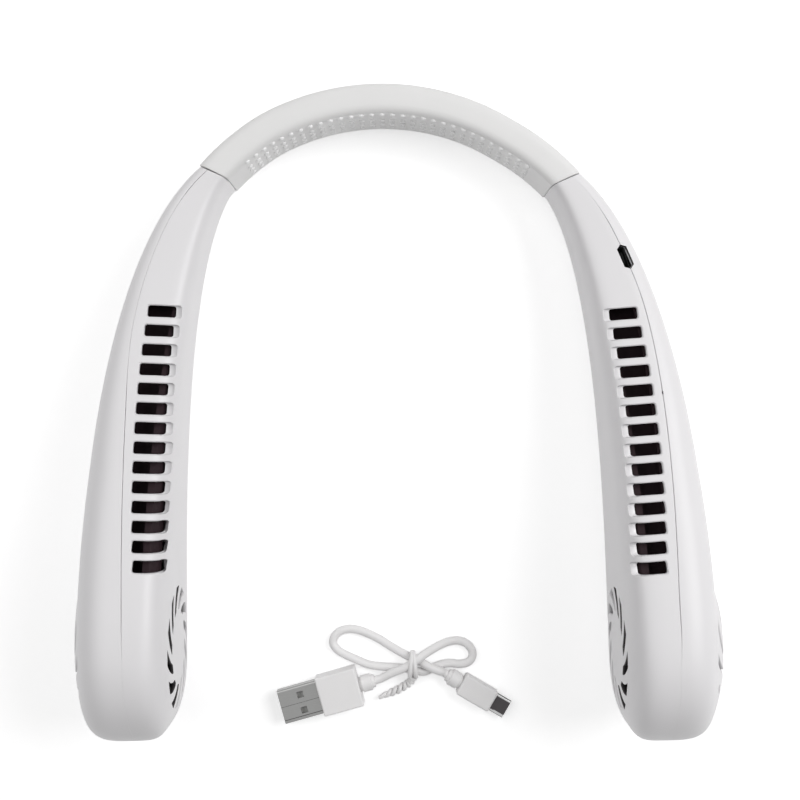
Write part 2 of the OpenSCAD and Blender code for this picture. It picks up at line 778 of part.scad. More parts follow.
module tact_switch() {
    p = board_xn(button_run, side_n(button_run));
    color(duct_black) at_board() {
        translate([p[0] - switch_w / 2, board_n + board_t, side_z - switch_w / 2])
            cube([switch_w, switch_t, switch_w]);
        translate([p[0], board_n + board_t + switch_t, side_z]) rotate([-quarter, 0, 0])
            cylinder(h = plunger_t, d = plunger_d, $fn = fine);
    }
}
button_proud = 0.8;
flange_t = 0.8;
flange_w = 1;
flange_d = button_d + 2 * flange_w;
// Room between the flange and the sloping inner face of the shell
flange_gap = 0.75;
button_edge = 0.4;
module power_button() {
    p = board_xn(button_run, side_n(button_run));
    face = p[1] - wall - flange_gap;
    low = switch_top + button_travel + switch_slack;
    top = p[1] + button_proud;
    color([0.8, 0.8, 0.81]) at_board() translate([p[0], 0, side_z]) rotate([-quarter, 0, 0])
        rotate_extrude($fn = fine) polygon([[0, low], [plunger_d / 2, low], [plunger_d / 2, face - flange_t],
            [flange_d / 2, face - flange_t], [flange_d / 2, face], [button_d / 2, face],
            [button_d / 2, top - button_edge], [button_d / 2 - button_edge, top], [0, top]]);
}
module battery_lights() {
    color([0.75, 0.9, 0.95]) for (k = [0:light_count - 1]) {
        p = board_xn(light_run(k), side_n(light_run(k)));
        at_board() translate([p[0], board_n + board_t, side_z]) rotate([-quarter, 0, 0])
            cylinder(h = p[1] - board_n - board_t, d = light_d, $fn = fine);
    }
}

// Charging cable: it lies on the surface between the heads
usb_a_at = [-27.9, -99.9];
usb_a_turn = 14.5;
usb_a_grip_l = 14.5;
usb_a_grip_w = 13.8;
usb_a_grip_t = 8;
usb_a_skin = 0.35;
relief_l = 5.8;
relief_d = 5;
relief_step = 1;
relief_foot_share = 0.6;
micro_at = [21.9, -96.5];
micro_turn = -31.4;
micro_grip_l = 13;
micro_grip_w = 8;
micro_grip_t = 6;
micro_shell_l = 6.4;
micro_skin = 0.25;
micro_blade_t = 0.6;
micro_blade_l_share = 0.85;
micro_blade_w_share = 0.7;
module at_usb_a() {
    translate([usb_a_at[0], usb_a_at[1], usb_a_grip_t / 2]) rotate([0, 0, usb_a_turn]) children();
}
module at_micro() {
    translate([micro_at[0], micro_at[1], micro_grip_t / 2]) rotate([0, 0, micro_turn]) children();
}
module usb_a_shell() {
    color(steel) at_usb_a() difference() {
        translate([-usb_a_l, -usb_a_w / 2, -usb_a_t / 2]) cube([usb_a_l, usb_a_w, usb_a_t]);
        translate([-usb_a_l - over, -usb_a_w / 2 + usb_a_skin, -usb_a_t / 2 + usb_a_skin])
            cube([usb_a_l + over - usb_a_skin, usb_a_w - 2 * usb_a_skin, usb_a_t - 2 * usb_a_skin]);
        for (y = [-1, 1]) translate([-usb_a_l * hole_along_share, y * usb_a_w * hole_across_share, -usb_a_t])
            translate([-usb_hole / 2, -usb_hole / 2, 0]) cube([usb_hole, usb_hole, 2 * usb_a_t]);
    }
}
usb_hole = 2.3;
hole_along_share = 0.45;
hole_across_share = 0.23;
tongue_share = 0.45;
module usb_a_tongue() {
    t = (usb_a_t - 2 * usb_a_skin) * tongue_share;
    color([0.9, 0.9, 0.9]) at_usb_a()
        translate([-usb_a_l + over, -usb_a_w / 2 + usb_a_skin, -usb_a_t / 2 + usb_a_skin])
            cube([usb_a_l - over - usb_a_skin, usb_a_w - 2 * usb_a_skin, t]);
}
module grip_block(l, w, h, r) {
    hull() for (y = [-1, 1], z = [-1, 1]) translate([0, y * (w / 2 - r), z * (h / 2 - r)])
        rotate([0, quarter, 0]) cylinder(h = l, r = r, $fn = coarse);
}
grip_round = 1.2;
module usb_a_grip() {
    color(shell_white) at_usb_a() {
        grip_block(usb_a_grip_l, usb_a_grip_w, usb_a_grip_t, grip_round);
        translate([usb_a_grip_l, 0, 0]) rotate([0, quarter, 0]) {
            cylinder(h = relief_l, d = relief_d, $fn = fine);
            cylinder(h = relief_l * relief_foot_share, d = relief_d + relief_step, $fn = fine);
        }
    }
}
module micro_usb_grip() {
    color(shell_white) at_micro() {
        grip_block(micro_grip_l, micro_grip_w, micro_grip_t, grip_round);
        translate([-relief_l + fit_gap, 0, 0]) rotate([0, quarter, 0])
            cylinder(h = relief_l - fit_gap, d = relief_d, $fn = fine);
    }
}
module micro_outline(grow) {
    w = micro_w / 2 + grow;
    t = micro_t / 2 + grow;
    c = micro_t / 3;
    polygon([[-w, t], [w, t], [w, -t + c], [w - c, -t], [-w + c, -t], [-w, -t + c]]);
}
module micro_usb_shell() {
    color(steel) at_micro() translate([micro_grip_l, 0, 0]) rotate([quarter, 0, quarter]) {
        linear_extrude(micro_shell_l) difference() {
            micro_outline(0);
            micro_outline(-micro_skin);
        }
        linear_extrude(micro_shell_l * micro_blade_l_share)
            square([micro_w * micro_blade_w_share, micro_blade_t], center = true);
        linear_extrude(over) micro_outline(0);
    }
}

function plug_end(at, turn, x, z) = [at[0] + x * cos(turn), at[1] + x * sin(turn), z];
cord_lead = 1.5;
usb_a_exit = usb_a_grip_l + relief_l;
micro_exit = fit_gap - relief_l;
cord_route = concat(
    [plug_end(usb_a_at, usb_a_turn, usb_a_exit, usb_a_grip_t / 2),
     plug_end(usb_a_at, usb_a_turn, usb_a_exit + cord_lead, usb_a_grip_t / 2)],
    [[-3, -92.5, 4.8], [0.5, -91, 5.5], [3, -89.8, 5.9], [6.5, -87.5, 6], [9, -86, 5],
     [12, -84.5, 3.4], [15.5, -83, 2], [19, -82, 1.5], [22.5, -82.2, 1.5], [25.2, -84, 1.5],
     [26.3, -86.8, 1.5], [25.2, -89.2, 1.5], [22, -90.2, 1.5], [18, -89.8, 1.5], [15, -90.3, 1.5],
     [12, -91.4, 1.7], [9, -92.5, 2.4], [5, -91.7, 2.8], [1.5, -91, 2.5], [-3, -90.7, 1.9],
     [-7, -90.4, 1.5], [-11, -89.6, 1.5], [-15.3, -87.7, 1.5], [-18.9, -86, 1.5], [-22, -83.8, 1.5],
     [-23, -81.5, 1.5], [-21.8, -78.8, 1.5], [-18.8, -77.2, 1.5], [-15, -77.2, 1.5],
     [-11, -78.6, 1.5], [-7, -80.6, 1.5], [-3, -83.2, 1.7], [1, -85.5, 2.4], [5, -87.6, 2.8],
     [7, -88.5, 2.9], [9, -89.5, 3.8], [11, -90.5, 4.6], [13, -91.4, 4.8], [14.8, -92.2, 4.2]],
    [plug_end(micro_at, micro_turn, micro_exit - cord_lead, micro_grip_t / 2),
     plug_end(micro_at, micro_turn, micro_exit, micro_grip_t / 2)]);

// Round tube along a list of points, with one ring at each point
cord_sides = 8;
function tube_dir(p, k) = unit(p[min(k + 1, len(p) - 1)] - p[max(k - 1, 0)]);
function tube_ring(p, k, r) =
    let (d = tube_dir(p, k), a = unit([-d[1], d[0], 0]), b = cross(d, a))
    [for (j = [0:cord_sides - 1]) let (f = (j + 0.5) * 360 / cord_sides) p[k] + r * (cos(f) * a + sin(f) * b)];
module tube(p, r) {
    swept([for (k = [0:len(p) - 1]) tube_ring(p, k, r)]);
}
module charging_cord() {
    color(shell_white) tube(cord_route, cord_d / 2);
}

// Twist tie: a flat loop round the crossing strands, and its twisted tail
tie_x = 5;
tie_w = 1.2;
tie_t = 0.9;
tie_r = 1.8;
tie_knot = [[-91.6, 2.8], [-87.45, 2.8], [-88.1, 6.2], [-88.9, 6.2]];
tie_tail = [[5, -94, 3.4], [4.6, -95.5, 2], [3, -97, 1.2],
    [0.5, -98.6, 1.2], [-3.5, -100.2, 1.2], [-7, -101.4, 1.2]];
module tie_outline(r) {
    hull() for (p = tie_knot) translate(p) circle(r, $fn = coarse);
}
module twist_tie() {
    color([0.85, 0.85, 0.85]) {
        translate([tie_x - tie_w / 2, 0, 0]) rotate([quarter, 0, quarter]) linear_extrude(tie_w) difference() {
            tie_outline(tie_r + tie_t);
            tie_outline(tie_r);
        }
        tube(tie_tail, tie_t);
    }
}

neck_sleeve_middle();
on_left() neck_sleeve_side();  // neck_sleeve_left
on_right() neck_sleeve_side();  // neck_sleeve_right
flex_core_middle();
on_left() flex_core_side();  // flex_core_left
on_right() flex_core_side();  // flex_core_right
band_wires_middle();
on_left() band_wires_side();  // band_wires_left
on_right() band_wires_side();  // band_wires_right
on_left() inner_shell();  // left_inner_shell
on_left() outer_shell();  // left_outer_shell
on_left() outer_grille();  // left_outer_grille
on_left() air_duct();  // left_air_duct
on_left() fan_scroll();  // left_fan_scroll
on_left() battery();  // left_battery
on_left() motor_base();  // left_motor_base
on_left() stator_core();  // left_stator_core
on_left() motor_coils();  // left_motor_coils
on_left() rotor_cup();  // left_rotor_cup
on_left() ring_magnet();  // left_ring_magnet
on_left() blower_wheel();  // left_blower_wheel
on_left() motor_screws();  // left_motor_screws
on_right() inner_shell(true);  // right_inner_shell
on_right() outer_shell(true);  // right_outer_shell
on_right() outer_grille();  // right_outer_grille
on_right() air_duct();  // right_air_duct
on_right() fan_scroll();  // right_fan_scroll
on_right() battery();  // right_battery
on_right() motor_base();  // right_motor_base
on_right() stator_core();  // right_stator_core
on_right() motor_coils();  // right_motor_coils
on_right() rotor_cup();  // right_rotor_cup
on_right() ring_magnet();  // right_ring_magnet
on_right() blower_wheel();  // right_blower_wheel
on_right() motor_screws();  // right_motor_screws
on_right() circuit_board();
on_right() micro_usb_socket();
on_right() tact_switch();
on_right() power_button();
on_right() battery_lights();
usb_a_shell();
usb_a_tongue();
usb_a_grip();
charging_cord();
micro_usb_grip();
micro_usb_shell();
twist_tie();
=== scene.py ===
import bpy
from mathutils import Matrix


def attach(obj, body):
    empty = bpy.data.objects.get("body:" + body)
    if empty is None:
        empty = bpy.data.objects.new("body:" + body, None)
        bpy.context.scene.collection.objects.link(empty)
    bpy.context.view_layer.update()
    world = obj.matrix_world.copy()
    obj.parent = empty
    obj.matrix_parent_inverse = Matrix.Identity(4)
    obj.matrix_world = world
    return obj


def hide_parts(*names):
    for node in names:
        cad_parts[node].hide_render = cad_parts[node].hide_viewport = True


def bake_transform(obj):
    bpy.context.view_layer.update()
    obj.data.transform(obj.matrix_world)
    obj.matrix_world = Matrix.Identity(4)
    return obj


bl_info = {
    "name": "Neck fan pieces",
    "version": (1, 0, 0),
    "blender": (4, 5, 0),
    "location": "3D View > Sidebar > Neck fan",
    "description": "Shells, grilles, sleeve, cable, finishes and studio of a neck fan, round its solid parts",
    "category": "Object",
}

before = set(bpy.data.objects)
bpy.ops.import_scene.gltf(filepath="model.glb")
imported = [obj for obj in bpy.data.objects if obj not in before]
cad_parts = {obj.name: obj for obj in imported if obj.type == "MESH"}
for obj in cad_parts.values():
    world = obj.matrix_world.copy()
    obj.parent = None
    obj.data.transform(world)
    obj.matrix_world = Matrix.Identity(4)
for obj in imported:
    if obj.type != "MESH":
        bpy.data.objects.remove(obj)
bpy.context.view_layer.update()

import math

import bmesh
import bpy
import numpy as np
from mathutils import Matrix, Vector

MM = 0.001
SIDES = (("right", True), ("left", False))

# Lengths below are in millimetres. A run is a length along an arm, from its joint with the band.

# Band: centre and radius of its arc, section, and the degrees of its end and of its bend
BAND_CY, BAND_R, BAND_T, BAND_H, BAND_END = 23.8, 80.0, 10.4, 28.0, 48.0
BEND, BEND_HALF, BEND_MIX = 30.0, 11.0, 7.0
# Heads: radius, half thickness and middle
HEAD_R, HEAD_HALF, HEAD_X, HEAD_Y = 30.0, 15.4, 88.0, -79.0


def on_band(angle):
    """Point of the band's centre line at an angle in degrees from its middle, on the right."""
    f = math.radians(angle)
    return BAND_R * math.sin(f), BAND_CY + BAND_R * math.cos(f)


def of_head(*shares):
    """Lengths that are shares of the head's half thickness."""
    return tuple(share * HEAD_HALF for share in shares)


# Arms: reach of the curve's handles at the band and at the head, and half thickness, top and bottom along
# the curve, as in the source of the solid parts
BAND_PULL, HEAD_PULL = 40.0, 30.0
END_X, END_Y = on_band(BAND_END)
END_TURN = math.radians(BAND_END)
ARM_PATH = ((END_X, END_Y), (END_X + BAND_PULL * math.cos(END_TURN), END_Y - BAND_PULL * math.sin(END_TURN)),
            (HEAD_X, HEAD_Y + HEAD_PULL), (HEAD_X, HEAD_Y))
ARM_HALVES = (BAND_T / 2, *of_head(0.86, 1.04, 1))
ARM_TOPS = (BAND_H, 27.0, 2 * HEAD_R, 2 * HEAD_R)
ARM_LOWS = (0.0, 3.0, 0.0, 0.0)
# How the band lies turned between the arms, and where that puts each arm
LIE = math.radians(2.5)
BEND_X, BEND_Y = on_band(BEND)
LIE_X, LIE_DROP = BEND_X * (math.cos(LIE) - 1), BEND_X * math.sin(LIE)
LIE_Y = (LIE_DROP + (BEND_Y - BAND_CY) * (1 - math.cos(LIE))) / 2
ARM_SHIFT = {True: (LIE_X, LIE_Y - LIE_DROP), False: (-LIE_X, LIE_Y + LIE_DROP)}
# Squareness of the arm's section at the band and at the head, and the share of the arm over which it changes
SQUARE_E, ROUND_E, ROUND_REACH = 4.5, 2.6, 0.6
# Squareness of the head's end in plan, on its inner and outer side
INNER_CAP_E, OUTER_CAP_E = 3.6, 3.9
# Largest share of the half thickness at which an angle is still worked out
ANGLE_REACH = 0.985

# Air slots: width of the first and the last and how much the row's end narrows, place across, lean in degrees
# and what each arm's slots lie off that, across and along
SLOTS, SLOT_START, SLOT_PITCH, SLOT_H = 14, 49.4, 6.33, 3.9
SLOT_WIDTHS = (9.0, 10.2, -1.6)
SLOT_OFFSETS = of_head(-0.16, -0.52)
SLOT_LEAN = (3.0, 4.7)
SLOT_MOVES = {True: ((0.3, 1.9, -1.4), (0.55, 2.1, -2.85)), False: ((-0.8, -1.3, 0.5), (-0.25, 2.5, -2.65))}
SLOT_LIP, SLOT_CORNER, LIP_CORNER, SLOT_SHALLOW, LEDGE_START = 0.22, 0.8, 0.9, 0.3, 0.12
SLOT_STEPS = (15, 5)
# Share of the inner half thickness that slots and ledges keep within
SLOT_REACH = 0.955
# Flat zone round the row of slots that is filled anew: along, outwards, inwards and in degrees
SLOT_ROOM = (1.7, 1.15, 3.6, 5)

# Swirls: number and radii. The inlet's and grille's: turn in degrees, share of the pitch, flatness and start.
# The inlet's zone, and which of its slots have walls painted near-black as painted shade.
SWIRLS, SWIRL_IN, SWIRL_OUT = 12, 7.0, 20.5
INLET_SWIRL = (-26.0, 0.52, 0.88, 12.5)
GRILLE_SWIRL = (-52.0, 0.34, 1.0, SWIRL_IN)
SWIRL_ROOM, SWIRL_BACK = 22.6, 26
SHADE_PAINTED_SWIRLS = range(3, 9)

# Seam: its curve, what it lies off that by run on each arm, and the runs that this is averaged over
SEAM = of_head(0.1, 0.55, 0.1, -0.045)
SEAM_MOVES = {True: ((36, 44, 60, 84, 103, 123, 142, 154), (0, 0.6, 0.4, -0.2, -0.6, -0.9, -0.9, 0)),
              False: ((0, 49, 60, 84, 103, 123, 142, 165), (0, 0.4, 0, -2.2, -3.1, -3.5, -3.4, -2.5))}
SEAM_SPREAD = (-6, -3, 0, 3, 6)
# How faint it gets, and the runs at which it comes and goes: start and length of each change
HAIRLINE, LEFT_FAINT = 0.12, 0.35
RIGHT_COMES, LEFT_GOES, LEFT_COMES, END_GOES = (8, 14), (6, 10), (66, 16), (146, 16)
# Share of the half thickness that the seam stays within
SEAM_REACH = 0.6
# Charging port and a notch in the right arm's seam: middle, half length, length of its points, half width
PORT_RUN, PORT_HALF, PORT_POINT, PORT_W = 32.0, 4.2, 1.1, 1.55
NOTCH_RUN, NOTCH_HALF, NOTCH_POINT, NOTCH_W = 77.5, 0.6, 0.3, 0.16

# Outer sides: hole below the grille, with its zone, and holes for button and lights, by run and radius, and
# their zone's runs and degrees
INLET_R, INLET_ROOM, INLET_BACK = 22.8, 24.4, 28
BUTTON_UP = 13.8
BUTTON_HOLES = ((38.0, 3.7), (30.0, 1.0), (27.0, 1.0), (24.0, 1.0))
BUTTON_ZONE = (20, 44, 33)
# Grille: height of the dome on each arm, its reach up and along, and where it starts to run out
DOME = {True: 18.2, False: 17.2}
DOME_UP, DOME_ALONG = 32.31, 49.5
DOME_START, DOME_BACK_START = 11.0, {True: 15.0, False: 21.0}
GRILLE_FOOT_DROP = 0.12
GRILLE_PLAIN_R = 21.4
GRILLE_SHARES = (0.08, 0.2, 0.33, 0.46, 0.6, 0.74, 0.87, 1.0)
HUB_SHARES = (0.9, 0.55, 0.2)

# Rims: how far out of its outline and how deep each ring of a soft edge lies
SLOT_RIM = ((0.26, 0), (0.08, 0.03), (0, 0.11))
SWIRL_RIM = ((0.2, 0), (0.07, 0.03), (0, 0.1))
BUTTON_RIM = ((0.25, 0), (0.08, 0.04), (0, 0.14))
GRILLE_RIM = ((0.1, 0.04), (0, 0.16))
GRILLE_RIM_OUT = 0.3

# How far the joint between band and arm shifts along the arm at its outer and inner side, and how far that
# reaches
JOINT_LEAN = {True: (2.1, -1.4), False: (0.0, -3.0)}
JOINT_REACH = 22

# Raised dots: degrees that the rows reach to, tilt of the top row, and each row's place in pitches below the
# top one with its share of the full height
DOTS_END, TOP_ROW_TILT = 41.0, 20
DOT_ROWS = ((0, 1.0), (2.05, 0.9), (3.6, 0.75), (5.1, 0.6))
# Last rings of the sleeve: degrees from the middle and how far they draw in
SLEEVE_RINGS = 40
SLEEVE_LIP = ((47.55, 0), (47.72, 0.09), (47.8, 0.3))
# Edges of the inner wall's zone that gets the lighter silicone as painted light: outwards of the inner side
# and below the top
WALL_OUT, WALL_DOWN = 0.9, 1.5

# One degree round an arm counts as this many millimetres while its skin is still flat
FLAT = 0.35
# Lines across an arm: their pitch, extra ones at the joint, and degrees round the head's end
LINE_PITCH, LINE_START = 1.7, 3.4
JOINT_LINES = [0.3, 0.9, 1.9]
HEAD_LINES = (*range(0, 12, 4), *range(12, 62, 5), *range(62, 74, 4), *range(74, 80, 3), 80, 82.5, 85, 87,
              88.5, 89.5, 90)
# Lines along the first half of an inner (-1) and an outer (1) shell: start, end, number or pitch, in degrees
SHELL_LINES = {-1: ((0, 32, 10), (34.5, 64, 2.5), (66, 93, 8)), 1: ((0, 20, 5), (23.5, 70, 3.5), (72, 90, 5))}
# Material indices of the shells, of the sleeve and of the plugs' metal. Past the first of each, they paint
# light or shade: lighter copies are painted light and highlights, near-black is painted shade, and on the
# plugs it is also a dark joint.
PLAIN, LEDGE_HIGHLIGHT, PAINTED_SHADE = 0, 1, 2
SKIN, LIT_WALL, LIT_DOT = 0, 1, 2
SHEET, PAINTED_HIGHLIGHT, PAINTED_DARK_AND_JOINT = 0, 1, 2

STEPS = np.linspace(0.0, 1.0, 1201)


def curve(points, t):
    """Point of a cubic curve. points may be numbers or places."""
    p = np.asarray(points, float)
    t = np.asarray(t, float)
    if p.ndim == 2:
        t = t[..., None]
    return (1 - t) ** 3 * p[0] + 3 * (1 - t) ** 2 * t * p[1] + 3 * (1 - t) * t ** 2 * p[2] + t ** 3 * p[3]


TRACK = curve(ARM_PATH, STEPS)
RUNS = np.concatenate(([0.0], np.cumsum(np.linalg.norm(np.diff(TRACK, axis=0), axis=1))))
AHEAD = np.gradient(TRACK, axis=0)
AHEAD /= np.linalg.norm(AHEAD, axis=1)[:, None]
ARM_RUN = RUNS[-1]
TIP_RUN = ARM_RUN + HEAD_R * math.pi / 2


def mix(a, b, t):
    return a + (b - a) * t


def smooth(t):
    t = np.clip(t, 0.0, 1.0)
    return t * t * (3 - 2 * t)


def ramp(x, start, length):
    """0 up to start, 1 from a length further on, and soft between."""
    return smooth((x - start) / length)


def arm_frame(run, inset):
    """Centre, outward direction, half thickness inwards and outwards, middle and half height, squareness."""
    run = np.asarray(run, float)
    t = np.interp(run, RUNS, STEPS)
    cap = np.clip((run - ARM_RUN) / HEAD_R, 0, math.pi / 2)
    centre = curve(ARM_PATH, t) + np.minimum(run, 0)[..., None] * AHEAD[0]
    centre[..., 1] -= (HEAD_R - inset) * np.sin(cap)
    out = np.stack([-np.interp(t, STEPS, AHEAD[:, 1]), np.interp(t, STEPS, AHEAD[:, 0])], -1)
    half = curve(ARM_HALVES, t) - inset
    inner, outer = (half * np.maximum(1 - np.sin(cap) ** e, 0) ** (1 / e) for e in (INNER_CAP_E, OUTER_CAP_E))
    top = curve(ARM_TOPS, t) - inset
    low = curve(ARM_LOWS, t) + inset
    power = mix(SQUARE_E, ROUND_E, np.minimum(1, t / ROUND_REACH))
    return centre, out, inner, outer, (top + low) / 2, (top - low) / 2 * np.cos(cap), power


def on_arm(run, angle, inset=0.0):
    """Point of the right arm's skin at a run along it and an angle round it, 0 outwards and 90 up."""
    centre, out, inner, outer, mid, high, power = arm_frame(run, inset)
    c, s = np.cos(np.radians(angle)), np.sin(np.radians(angle))
    e = np.where(c > 0, power, SQUARE_E)
    reach = (np.abs(c) ** e + np.abs(s) ** e) ** (-1 / e)
    n = np.where(c > 0, outer, inner) * reach * c
    z = mid + high * reach * s
    return np.concatenate([centre + out * n[..., None], z[..., None]], -1)


def angle_across(run, n, inset=0.0):
    """Angle of the point that lies n outwards of the middle, on the upper side."""
    _, _, inner, outer, _, _, power = arm_frame(run, inset)
    x = np.clip(n / np.maximum(np.where(n > 0, outer, inner), 1e-6), -ANGLE_REACH, ANGLE_REACH)
    e = np.where(n > 0, power, SQUARE_E)
    return np.degrees(np.arctan2((1 - np.abs(x) ** e) ** (1 / e), x))


def head_spot(y, z, side, inset=0.0):
    """Run and angle of a point of the head's side, by its place in side view. side is 1 for the outer."""
    y = np.asarray(y, float)
    half = len(STEPS) // 2
    run = np.interp(-y, -TRACK[half:, 1], RUNS[half:])
    over = np.clip((HEAD_Y - y) / (HEAD_R - inset), 0, 1)
    run = np.where(y < HEAD_Y, ARM_RUN + HEAD_R * np.arcsin(over), run)
    _, _, _, _, mid, high, power = arm_frame(run, inset)
    q = np.clip((z - mid) / np.maximum(high, 1e-6), -ANGLE_REACH, ANGLE_REACH)
    e = power if side > 0 else SQUARE_E
    x = side * (1 - np.abs(q) ** e) ** (1 / e)
    angle = np.degrees(np.arctan2(q, x))
    return run, np.where(angle < 0, angle + 360, angle) if side < 0 else angle


def seam_at(run, right):
    """Place of the seam outwards of the arm's middle."""
    moves = sum(np.interp(run + d, *SEAM_MOVES[right]) for d in SEAM_SPREAD) / len(SEAM_SPREAD)
    return curve(SEAM, np.interp(run, RUNS, STEPS)) + moves


def seam_room(run, right):
    """Half width of what is cut out along the seam: charging port and notch, both in the right arm."""
    port = PORT_W * np.clip((PORT_HALF - np.abs(run - PORT_RUN)) / PORT_POINT, 0, 1)
    notch = NOTCH_W * np.clip((NOTCH_HALF - np.abs(run - NOTCH_RUN)) / NOTCH_POINT, 0, 1)
    return port + notch if right else port * 0


def seam_faint(run, right):
    """How plainly the seam shows at a run, from a hairline to 1."""
    if right:
        shown = ramp(run, *RIGHT_COMES)
    else:
        shown = mix(LEFT_FAINT, 1, 1 - ramp(run, *LEFT_GOES) + ramp(run, *LEFT_COMES))
    return mix(HAIRLINE, 1, np.clip(shown, 0, 1) * (1 - ramp(run, *END_GOES)))


def slot_spot(q, right):
    """Half width of a slot, how far it lies across and is moved along, for its share of the row."""
    across, along = (a + b * q + c * q * q for a, b, c in SLOT_MOVES[right])
    return (mix(*SLOT_WIDTHS[:2], q) + SLOT_WIDTHS[2] * q ** 3) / 2, mix(*SLOT_OFFSETS, q) + across, along


def in_slot_row(p, right):
    """Whether a flat point lies in the zone of the air slots."""
    along, outwards, inwards, over = SLOT_ROOM
    first = SLOT_START - SLOT_H / 2 - along
    final = SLOT_START + (SLOTS - 1) * SLOT_PITCH + SLOT_H / 2 + along
    if not first < p.x < final:
        return False
    w, n, _ = slot_spot((p.x - SLOT_START) / SLOT_PITCH / (SLOTS - 1), right)
    inner = float(arm_frame(p.x, 0.0)[2])
    low = float(angle_across(p.x, np.float64(n + w + outwards)))
    high = float(angle_across(p.x, np.float64(max(n - w - inwards, -SLOT_REACH * inner)))) + over
    return low < p.y / FLAT < high


def on_head(p, r, back):
    """Whether a flat point lies within r of the head's middle in side view, and no more than back behind."""
    if p.x < ARM_RUN - back:
        return False
    at = on_arm(np.float64(p.x), np.float64(p.y / FLAT))
    return math.hypot(at[1] - HEAD_Y, at[2] - HEAD_R) < r


def grow(points, d):
    """Moves a closed outline, given anticlockwise, outwards by d."""
    p = np.asarray(points, float)
    along = np.roll(p, -1, 0) - np.roll(p, 1, 0)
    along /= np.linalg.norm(along, axis=1)[:, None]
    return p + d * np.stack([along[:, 1], -along[:, 0]], 1)


def signed_area(points):
    """Twice the area of an outline, above 0 where it is anticlockwise."""
    x, y = points[:, 0], points[:, 1]
    return np.sum(x * np.roll(y, -1) - np.roll(x, -1) * y)


def anticlockwise(rings):
    return rings if signed_area(rings[0]) > 0 else [r[::-1] for r in rings]


def rounded(left, right, low, high, r, across, up):
    """Outline of a rounded rectangle, anticlockwise, with its sides in short lengths."""
    points = []
    corners = ((right - r, high - r), (left + r, high - r), (left + r, low + r), (right - r, low + r))
    for k, (x, y) in enumerate(corners):
        for j in range(5):
            f = math.radians(90 * k + 22.5 * j)
            points.append((x + r * math.cos(f), y + r * math.sin(f)))
        nx, ny = corners[(k + 1) % 4]
        f = math.radians(90 * (k + 1))
        a, b = np.array(points[-1]), np.array((nx + r * math.cos(f), ny + r * math.sin(f)))
        steps = across if k % 2 == 0 else up
        points += [tuple(mix(a, b, j / steps)) for j in range(1, steps)]
    return np.array(points)


def swirl_outline(k, turn, fill, flat, start):
    """Outline of one swirl slot about the head's middle, in side view. fill is its share of the pitch."""
    edge = []
    for side in (-1, 1):
        q = np.linspace(0, 1, 13)
        r = mix(start, SWIRL_OUT, q)
        f = np.radians(turn * (q - 1) + side * fill * 180 / SWIRLS + 360 / SWIRLS * k)
        line = np.stack([r * np.sin(f), -r * np.cos(f) * flat], 1)
        edge.append(line if side < 0 else line[::-1])
    p = anticlockwise([np.concatenate(edge)])[0]
    # Soft corners: each corner gives way to three points
    out = []
    for i, b in enumerate(p):
        a, c = p[i - 1], p[(i + 1) % len(p)]
        u, v = (a - b) / np.linalg.norm(a - b), (c - b) / np.linalg.norm(c - b)
        out += [b + 0.45 * u, b + 0.13 * (u + v), b + 0.45 * v] if u @ v > -0.7 else [b]
    return np.array(out)


# Meshes. Skins are shaped flat, with run, angle and depth as x, y and z, and then moved to their place.

def loop_edges(verts):
    ring = set(verts)
    return list({e for v in verts for e in v.link_edges if e.verts[0] in ring and e.verts[1] in ring})


def ring_of(bm, points):
    """A closed line of vertices at points."""
    ring = bmesh.ops.create_circle(bm, segments=len(points), radius=1)["verts"]
    for v, p in zip(ring, points):
        v.co = p
    return ring


def fill_between(bm, edges, outlines):
    """Fills the flat area between edges and new outlines. Returns the outlines' vertices."""
    loops = [ring_of(bm, [(x, y, 0) for x, y in outline]) for outline in outlines]
    for ring in loops:
        edges = edges + loop_edges(ring)
    bmesh.ops.triangle_fill(bm, use_beauty=True, use_dissolve=False, edges=edges, normal=(0, 0, 1))
    return loops


def open_holes(bm, taken, outlines):
    """Takes out the faces that taken picks and fills up to new outlines. Returns the outlines' vertices."""
    gone = {f for f in bm.faces if taken(f.calc_center_median())}
    rim = [e for e in bm.edges if len(e.link_faces) == 2 and sum(f in gone for f in e.link_faces) == 1]
    bmesh.ops.delete(bm, geom=list(gone), context="FACES")
    return fill_between(bm, [e for e in rim if e.is_valid], outlines)


def second_skin(bm, depth):
    """Copies all that is there to a depth below. Returns the map from each vertex to its copy."""
    twin = bmesh.ops.duplicate(bm, geom=bm.verts[:] + bm.edges[:] + bm.faces[:])
    for g in twin["geom"]:
        if isinstance(g, bmesh.types.BMVert):
            g.co.z = -depth
    return twin["vert_map"]


def sink(bm, ring, rings, looks=()):
    """Extrudes an outline through rings of points. looks gives the material index of each row of faces."""
    edges = loop_edges(ring)
    for step, points in enumerate(rings):
        where = {tuple(round(c, 5) for c in v.co): k for k, v in enumerate(ring)}
        made = bmesh.ops.extrude_edge_only(bm, edges=edges)["geom"]
        fresh = [None] * len(ring)
        for v in made:
            if isinstance(v, bmesh.types.BMVert):
                fresh[where[tuple(round(c, 5) for c in v.co)]] = v
            elif isinstance(v, bmesh.types.BMFace) and looks:
                v.material_index = looks[step]
        for v, p in zip(fresh, points):
            v.co = p
        ring = fresh
        edges = [e for e in made if isinstance(e, bmesh.types.BMEdge)]
    return ring


def finish_mesh(bm, place, skin, flip):
    """Moves flat vertices to their place and cleans the mesh. skin gives the outer face's true directions,
    which are kept in the layer that is returned."""
    mark = bm.verts.layers.float_vector.new("skin")
    verts = list(bm.verts)
    flat = np.array([v.co for v in verts])
    side = np.array((-1, 1, 1)) if flip else 1
    for v, p, d in zip(verts, place(flat) * side, skin(flat) * side):
        v.co = p
        v[mark] = d
    bmesh.ops.remove_doubles(bm, verts=bm.verts, dist=0.004)
    bmesh.ops.dissolve_degenerate(bm, edges=bm.edges, dist=0.0005)
    bmesh.ops.recalc_face_normals(bm, faces=bm.faces)
    return mark


